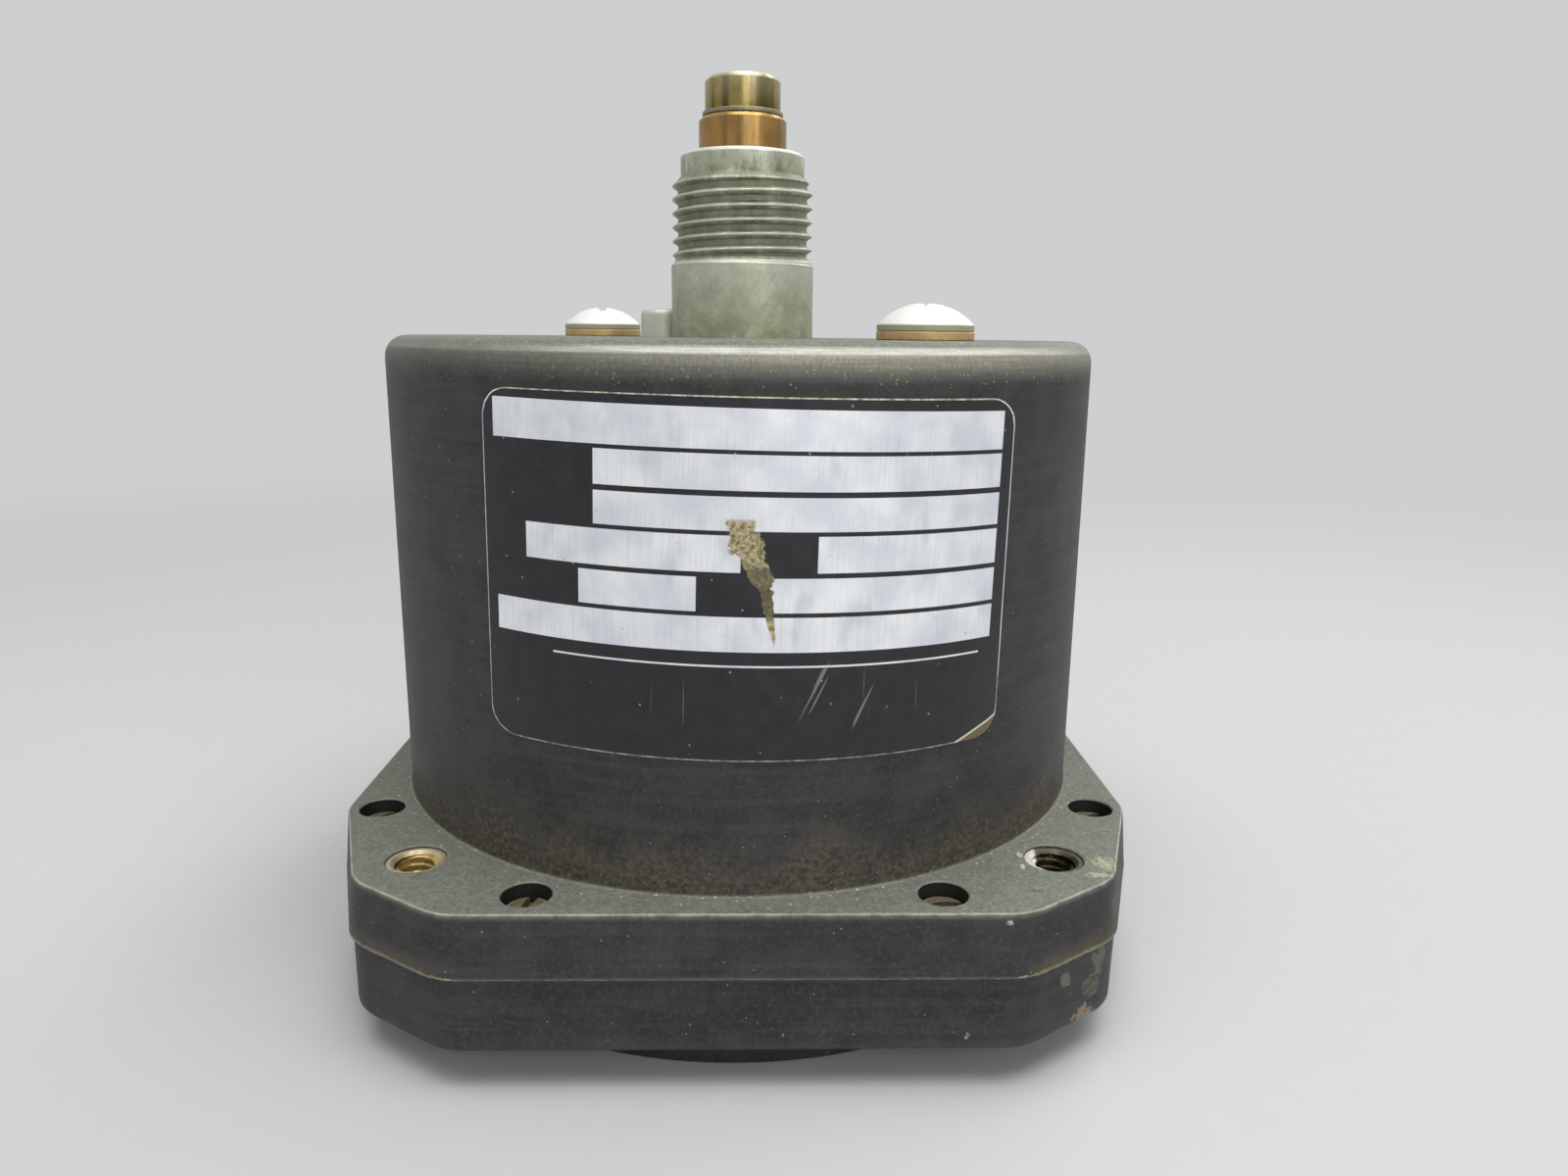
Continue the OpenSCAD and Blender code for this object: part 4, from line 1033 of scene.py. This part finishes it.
def makeStem(look):
    n, bore, lead, chamfer = look.around, look.boreR, look.leadR, look.leadChamfer
    threadZ = backZ + look.stemH
    leadZ = threadZ + look.threadH
    endZ = leadZ + look.leadH
    seatZ, frontZ = endZ - look.seatDepth, look.spigotZ + look.frontSeat
    s = Shape()
    profile = [(bore, frontZ), (bore, look.spigotZ), (look.spigotR, look.spigotZ), (look.spigotR, innerZ),
               (look.plainR, innerZ), (look.plainR, backZ), (look.plainR, threadZ - look.shoulder),
               (look.threadR, threadZ)]
    s.lathe(profile, n, [0, 0, 0, 0, 0, 0, 0.4, 0.4])
    profile = [(lead, leadZ), (lead, endZ - chamfer), (lead - chamfer, endZ), (bore, endZ), (bore, seatZ),
               (look.shaftR, seatZ), (look.shaftR, frontZ), (bore, frontZ)]
    s.lathe(profile, n, [0, 0.3, 1.0, 0.8, 0, 0, 0, 0])
    s.absorb(threads.run("couplingThread", Crest=look.threadR * mm, Root=look.rootR * mm,
                         Pitch=look.pitch * mm, Start=threadZ * mm, Length=look.threadH * mm,
                         RunOut=look.runOut * mm, LeadRadius=lead * mm, Phase=look.phase, Around=n + 1,
                         Along=look.along, Material=finishes.stemZinc))
    body = s.piece("driveStem", finishes.stemZinc)

    s = Shape()
    edge, topZ = look.lugEdge, backZ + look.lugH
    side = [(0, look.lugFootZ), (look.lugR, look.lugFootZ)]
    side += arcProfile(look.lugR - edge, topZ - edge, edge, 0, 90, look.lugEdgeSteps) + [(0, topZ)]
    wears = [0, 0] + [0.4] * (len(side) - 3) + [0.3]
    s.lathe(side, look.lugPoints, wears, polar(flange.lugOut, flange.lugAngle))
    carve(body, s.piece("keyLug", finishes.stemZinc), "UNION")
    mount(body, "housing", "stem_zinc", "drive_neck")


makeStem(stem)
print("drive stem made")


# Bush, thrust washer and spindle

spindle = Sizes(
    bushR=4.9, bushBore=3.75, washerR=4.5, washerBore=3.72, washerEdge=0.08, chamfer=0.5, around=72,
    shaftR=3.7, headR=4.2, grooveR=3.2, groove=(53.65, 54.45), footZ=41.0, jewelR=1.52, jewelDepth=2.2,
    socketW=4.8, socketCornerR=3.05, socketSteps=4, socketDepth=12.0,
)


def socketRing(look, z):
    # square with its corners cut by a circle
    corner, steps = look.socketCornerR, look.socketSteps
    spread = degrees(acos(look.socketW / 2 / corner))
    return [(*polar(corner, quarter + spread + (90 - 2 * spread) * i / steps), z)
            for quarter in (0, 90, 180, 270) for i in range(steps + 1)]


def makeSpindle(look):
    n, c = look.around, look.chamfer
    low, high = nodeBox("rear_bushing")
    s = Shape()
    profile = [(look.bushBore, low.z), (look.bushR, low.z), (look.bushR, high.z - c),
               (look.bushR - c, high.z), (look.bushBore, high.z)]
    turned = s.lathe(profile, n, [0, 0, 0.25, 1.0, 0.8])
    s.skin(turned[-1], turned[0])
    mount(s.piece("stemBush", finishes.bushBronze), "housing", "bronze", "rear_bushing")

    low, high = nodeBox("thrust_washer")
    wears = [0, 0.4, 0.6, 0.6, 0.6, 0]
    s = washerShape(look.washerBore, look.washerR, low.z, high.z, look.washerEdge, n, wears)
    mount(s.piece("spindleWasher", finishes.washerSteel), "drive", "clock_steel", "thrust_washer")

    headZ, topZ = high.z, nodeBox("drive_spindle")[1].z
    footZ, shaft, head = look.footZ, look.shaftR, look.headR
    grooveLow, grooveHigh = look.groove
    s = Shape()
    profile = [(0, footZ + look.jewelDepth), (look.jewelR, footZ + look.jewelDepth), (look.jewelR, footZ),
               (shaft, footZ), (shaft, grooveLow), (look.grooveR, grooveLow), (look.grooveR, grooveHigh),
               (shaft, grooveHigh), (shaft, headZ), (head, headZ), (head, topZ - c), (head - c, topZ)]
    turned = s.lathe(profile, n, [0] * 10 + [0.25, 1.0])
    mouth, inside = [s.ring(socketRing(look, z)) for z in (topZ, topZ - look.socketDepth)]
    s.cap(turned[-1], [mouth], 0.5)
    s.skin(mouth, inside)
    s.cap(inside)
    mount(s.piece("spindleHead", finishes.spindleBrass), "drive", "spindle_brass", "drive_spindle")


makeSpindle(spindle)
print("bush, washer and spindle made")


# Data plate: foil with a black print, its fields left bare

plate = Sizes(
    outerR=39.62, innerR=39.37, turn=2.1, tilt=-0.9, printTilt=-1.3, leanBand=0.06, centreZ=47.05,
    halfAngle=37.4, halfH=16.05, cornerR=2.5, cornerSteps=6, lineW=0.12, column=1.3,
    rimLeft=-25.62, rimCorner=-36.5, ruleQ=(-7.34, -7.16), ruleP=(-18.25, 22.8), foldP=20.6, foldQ=-16.0,
    foldSlope=0.37,
    # scrap of glue: bottom and top, and the course of its middle line
    glueQ=(-5.6, 6.0), glueReach=10.0,
    glueLine=[(0.0, 0.7), (0.12, 0.66), (0.45, 0.6), (0.7, 0.52), (1.0, 0.36)],
    # bare fields: left, right, bottom, top, in mm from the plate's middle
    fields=[(-24.6, 24.2, 11.61, 15.08), (-14.15, 24.2, 8.17, 11.24), (-14.15, 24.2, 4.73, 7.67),
            (-21.0, -1.1, 1.12, 4.34), (5.6, 24.2, 1.12, 4.34), (-15.6, -4.9, -2.4, 0.67),
            (1.0, 24.2, -2.4, 0.67), (-24.5, 24.2, -5.95, -2.8)],
)


def plateFinish(name, look):
    f = Finish(name)
    along = f.value("ShaderNodeUVMap", uv_map="plateMap")  # millimetres from the middle
    p, q, _ = f.parts(along)
    f.place = f.value("ShaderNodeVectorMath", {0: along, 1: (mm, mm, mm)}, operation="MULTIPLY")
    dentsAndSheen = f.noise(5, 3, 0.5)
    nicks = f.noise(0.8, 3, 0.6)
    blotch = f.noise(2.0, 5, 0.65)
    if name == "plateFoil":
        brush = f.noise(0.12, 2, 0.6, (1, 60, 1))
        # the tone following the dents is painted sheen: lighter and darker zones of reflection
        f.tone = f.mix(dentsAndSheen.window(0.3, 0.7), (222, 225, 233), (250, 251, 252))
        f.coat(brush.window(0.35, 0.8, 0.0, 0.4), (196, 198, 205))
        # painted reflection: broad bluish bands
        f.coat(f.noise(3.0, 2, 0.5, (1, 2.5, 1)).window(0.56, 0.74, 0.0, 0.36), (182, 186, 197))
        f.coat(nicks.window(0.7, 0.78) * 0.8, (120, 118, 116))
        f.coat(f.specks(2.6, 0.12, 0.07) * 0.8, (70, 66, 60))
        frayed = f.mix(f.noise(0.7, 4, 0.7).window(0.35, 0.65), (112, 102, 74), (232, 226, 200))
        f.coat(q.window(look.halfH - 0.3, look.halfH - 0.15, 0.0, 0.9), frayed)
        # the rim fades below, in the lower corners and on the left
        low = q.window(0.3 - look.halfH, 0.2 - look.halfH, 0.0, 0.85)
        corners = (p + q).calc("MINIMUM", q - p).window(look.rimCorner + 1.0, look.rimCorner, 0.0, 0.7)
        left = p.window(look.rimLeft + 0.1, look.rimLeft, 0.0, 0.5)
        faded = low.calc("MAXIMUM", corners).calc("MAXIMUM", left)
        f.coat(faded * f.noise(0.9, 4, 0.7).window(0.3, 0.6, 0.5, 1.0), (46, 47, 52))
        rough, metal = brush.window(0.2, 0.8, 0.32, 0.5), 0.4
    else:
        f.tone = f.mix(blotch.window(0.3, 0.75), (15, 15, 19), (32, 32, 36))
        f.coat(f.noise(0.5, 1, 0.4, (1, 36, 1)).window(0.76, 0.8) * 0.35, (176, 174, 168))
        aslant = f.value("ShaderNodeMapping", {"Vector": f.place, "Rotation": (0, 0, 0.45)})
        rubs = f.noise(0.45, 1, 0.4, (1, 22, 1), aslant).window(0.69, 0.73)
        f.coat(rubs * p.band(3.0, 14.0, 2.0) * q.band(-12.5, -7.6, 1.0) * 0.35, (186, 184, 178))
        f.coat(f.specks(0.9, 0.1, 0.14) * 0.75, (168, 164, 154))
        rough, metal = blotch.window(0.2, 0.8, 0.3, 0.48), 0.0

    # torn scrap of old glue across the middle
    bottom, top = look.glueQ
    middle = f.add("ShaderNodeFloatCurve", {"Value": q.window(bottom, top)})
    curve = middle.mapping.curves[0]
    for at, value in look.glueLine[1:-1]:
        curve.points.new(at, value)
    curve.points[0].location = look.glueLine[0]
    curve.points[-1].location = look.glueLine[-1]
    middle.mapping.update()
    centre = (Value(f, middle.outputs[0]) - 0.5) * look.glueReach
    torn = abs(p - centre) / q.window(bottom, top - 0.8, 0.15, 1.5) + blotch.window(0.25, 0.75, -0.55, 0.55)
    scrap = torn.window(1.0, 0.8) * (q.window(bottom, bottom + 1.0) * q.window(top, top - 0.6))
    grit = f.noise(0.4, 4, 0.7)
    glue = f.mix(grit.window(0.35, 0.6), (104, 92, 62), (196, 182, 140))
    glue = f.mix(q.band(-2.6, 1.2, 0.8) * blotch.window(0.3, 0.6, 0.5, 0.95), glue, (86, 82, 62))
    f.coat(scrap, glue)

    # the lower right corner, which stands off on the real plate, is painted with its dull back edge and a
    # pale line along the fold
    fold = q - look.foldQ - (p - look.foldP) * look.foldSlope
    f.coat(fold.window(0.04, -0.04) * 0.9, (112, 96, 62))
    f.coat(fold.band(-0.08, 0.08, 0.06), (216, 212, 192))
    height = dentsAndSheen + scrap * grit * 2.0 + nicks.window(0.62, 0.8) * -0.6 + f.noise(1.6, 2, 0.5) * 0.5
    return f.finish(Roughness=rough + scrap * 0.4, Metallic=(1.0 - scrap) * metal,
                    Normal=f.bump(height, 0.12, 0.5))


def makePlate(look):
    radius, halfH, corner, line = look.outerR, look.halfH, look.cornerR, look.lineW
    halfX = radius * sin(radians(look.halfAngle))  # as seen from straight ahead
    halfW = radius * radians(look.halfAngle)  # along the curved plate

    columns = {-halfW, halfW, -halfW + line, halfW - line, *look.ruleP}
    rows = {-halfH, halfH, -halfH + line, halfH - line, *look.ruleQ}
    for left, right, bottom, top in look.fields:
        columns |= {left, right}
        rows |= {bottom, top}
    for i in range(look.cornerSteps + 1):  # extra columns in the rounded corners
        x = halfX - corner + corner * sin(pi / 2 * i / look.cornerSteps)
        columns |= {side * radius * asin(min(x / radius, 1)) for side in (-1, 1)}
    count = int(2 * halfW / look.column)
    columns |= {-halfW + 2 * halfW * i / count for i in range(count)}
    columns, rows = sorted(columns), sorted(rows)
    columns = [c for i, c in enumerate(columns) if i == 0 or c - columns[i - 1] > 1e-4]
    lastColumn, lastRow = len(columns) - 1, len(rows) - 1

    def edgeQ(p, inset):
        # half height of the rounded outline, moved in by inset, at p
        over = abs(radius * sin(p / radius)) - (halfX - corner)
        if over <= 0:
            return halfH - inset
        r = corner - inset
        return halfH - corner + sqrt(max(r * r - over * over, 0))

    def place(p, q, level):
        # the outline leans with the plate, the print inside it a little more
        border = max(abs(p) / halfW, abs(q) / halfH)
        share = min(max((1 - border) / look.leanBand, 0), 1)
        lean = radians(look.tilt + (look.printTilt - look.tilt) * share)
        x = radius * sin(p / radius)
        ahead = x * cos(lean) - q * sin(lean)
        v = x * sin(lean) + q * cos(lean)
        angle = asin(ahead / radius) + radians(look.turn) - pi / 2
        return level * cos(angle), level * sin(angle), look.centreZ + v

    def isBare(p, q, j):
        inField = any(l < p < r and b < q < t for l, r, b, t in look.fields)
        inRule = look.ruleP[0] < p < look.ruleP[1] and look.ruleQ[0] < q < look.ruleQ[1]
        return inField or inRule or abs(p) > halfW - line or j in (0, lastRow - 1)

    s = Shape()
    uv = s.bm.loops.layers.uv.new("plateMap")
    grids = []
    flat = {}
    for level in (look.outerR, look.innerR):
        grid = []
        for p in columns:
            rim, limit = edgeQ(p, 0), edgeQ(p, line)
            held = [copysign(rim, q) if j in (0, lastRow) else max(-limit, min(limit, q))
                    for j, q in enumerate(rows)]
            grid.append(s.ring([place(p, q, level) for q in held]))
            flat.update(zip(grid[-1], [(p, q) for q in held]))
        grids.append(grid)
    front, back = grids
    for i in range(lastColumn):
        for j in range(lastRow):
            p, q = (columns[i] + columns[i + 1]) / 2, (rows[j] + rows[j + 1]) / 2
            printed = 0 if isBare(p, q, j) else 1
            s.face((front[i][j], front[i + 1][j], front[i + 1][j + 1], front[i][j + 1]), None, printed)
            s.face((back[i][j], back[i][j + 1], back[i + 1][j + 1], back[i + 1][j]))
    for i in range(lastColumn):
        for j in (0, lastRow):
            s.face((front[i][j], front[i + 1][j], back[i + 1][j], back[i][j]))
    for j in range(lastRow):
        for i in (0, lastColumn):
            s.face((front[i][j], front[i][j + 1], back[i][j + 1], back[i][j]))
    for face in s.bm.faces:
        for loop in face.loops:
            loop[uv].uv = flat[loop.vert]
    bmesh.ops.dissolve_degenerate(s.bm, dist=weld, edges=s.bm.edges)
    coats = [plateFinish(name, look) for name in ("plateFoil", "plateInk")]
    mount(s.piece("foilPlate", *coats, sharp=50), "housing", "plate_foil", "data_plate")


makePlate(plate)
print("data plate made")


# Dial marks and numbers

dialFace = Sizes(
    startAngle=-221.25, perHundred=7.5, steps=36, majorEvery=5, outerR=33.0, thickness=0.05,
    minorL=2.2, majorL=4.2, minorW=0.45, majorW=0.85, numberR=24.8, numberSize=5.6, wordSize=3.0,
    words=[("RPM", 0.0, -11.5), ("X 100", 0.0, 12.5)], tailEnd=(4.6, 4.8),
)


def dialMarkFinish():
    f = Finish("dialMarks")
    f.tone = f.mix(f.noise(0.6, 4), (214, 210, 192), (232, 229, 214))
    return f.finish(Roughness=f.noise(0.3).window(0.2, 0.8, 0.55, 0.7))


def makeDialMarks(look):
    marks = dialMarkFinish()
    faceZ, depth = nodeBox("dial")[0].z, look.thickness
    s = Shape()
    majors = look.steps // look.majorEvery + 1
    for count, step, length, width in ((look.steps, 1, look.minorL, look.minorW),
                                       (majors, look.majorEvery, look.majorL, look.majorW)):
        mark = Shape()
        corners = [(-length, -width / 2), (0.0, -width / 2), (0.0, width / 2), (-length, width / 2)]
        mark.prism([(*p, faceZ - depth) for p in corners], [(*p, faceZ) for p in corners])
        source = mark.piece("markSource", marks)
        s.absorb(ringOf(source, "markRow", count, look.outerR, look.startAngle, step * look.perHundred))
        discard(source)

    # flat lettering that the pilot reads from the front
    numbers = [(str(value), look.numberSize, *polar(look.numberR, look.startAngle + value * look.perHundred))
               for value in range(0, look.steps, look.majorEvery)]
    for text, size, x, y in numbers + [(text, look.wordSize, x, y) for text, x, y in look.words]:
        curve = bpy.data.curves.new("lettering", "FONT")
        curve.body = text
        curve.size = size * mm
        curve.extrude = depth * mm / 2
        curve.align_x, curve.align_y = "CENTER", "CENTER"
        obj = newObject("lettering", curve)
        mesh = plainMesh(obj)
        discard(obj)
        spot = Vector((x, y, faceZ - depth / 2)) * mm
        mesh.transform(Matrix.Translation(spot) @ Matrix.Rotation(pi, 4, "X"))
        s.bm.from_mesh(mesh)
    mount(s.piece("dialMarks", marks, sharp=30), "housing", "pointer_white")


makeDialMarks(dialFace)
print("dial marks made")


# Finishes of the pieces that keep their CAD shape

def plainFinish(slotName, low, high, size, rough, metal=0.0, **more):
    first, second = slotName.split("_")
    f = Finish(first + second.title())
    fine = f.noise(size * 0.15, 3)
    f.tone = f.mix(f.noise(size, 4, 0.6).window(0.3, 0.7), low, high)
    return f.finish(Roughness=fine.window(0.2, 0.8, *rough), Metallic=metal, **more,
                    Normal=f.bump(fine, 0.01, 0.4))


def pointerFinish():
    # pale blade with a black tail
    f = Finish("pointerPaint")
    along = f.x * polar(1, dialFace.startAngle)[0] + f.y * polar(1, dialFace.startAngle)[1]
    pale = f.mix(f.noise(1.5, 4), (222, 218, 200), (238, 236, 222))
    f.tone = f.mix(along.window(*dialFace.tailEnd), (24, 24, 25), pale)
    return f.finish(Roughness=f.noise(0.4).window(0.2, 0.8, 0.45, 0.6))


plainLooks = {  # two colours, size of the clouds, roughness, metal
    "seal_rubber": ((26, 26, 26), (38, 37, 36), 2, (0.7, 0.85)),
    "black_metal": ((27, 27, 28), (40, 40, 41), 4, (0.45, 0.6)),
    "dial_black": ((20, 20, 21), (29, 29, 30), 5, (0.6, 0.75)),
    "magnet_grey": ((74, 76, 80), (98, 100, 104), 3, (0.45, 0.65), 0.7),
    "cup_aluminium": ((188, 190, 192), (212, 213, 214), 4, (0.28, 0.42), 0.95),
    "soft_iron": ((112, 115, 118), (138, 140, 142), 3, (0.35, 0.5), 0.9),
    "clock_brass": ((176, 148, 82), (204, 178, 112), 2, (0.25, 0.4), 0.95),
    "clock_steel": ((164, 168, 172), (194, 197, 200), 2, (0.22, 0.36), 0.95),
}
slotFinishes = {slotName: plainFinish(slotName, *look) for slotName, look in plainLooks.items()}
slotFinishes |= {
    "window_glass": plainFinish("window_glass", (246, 250, 250), (252, 253, 253), 12, (0.01, 0.04),
                                Transmission_Weight=1.0, IOR=1.5),
    "jewel_ruby": plainFinish("jewel_ruby", (160, 24, 48), (190, 36, 62), 1, (0.04, 0.1),
                              Transmission_Weight=0.6, IOR=1.76),
    "bronze": finishes.bushBronze, "stem_zinc": finishes.stemZinc, "pointer_white": pointerFinish(),
    "case_phenolic": finishes.casePhenolic, "bezel_phenolic": finishes.bezelPhenolic,
    "insert_brass": finishes.insertBrass, "screw_steel": finishes.screwDull,
    "plate_foil": finishes.washerSteel, "screw_bright": finishes.screwPlated,
    "washer_copper": finishes.washerBrown, "spindle_brass": finishes.spindleBrass,
}
for part in frame["record"]["subparts"]:
    node = frame["nodes"][part["node"]]
    node.data.materials.clear()
    node.data.materials.append(slotFinishes[part["material_slot"]])
print("inner pieces finished")
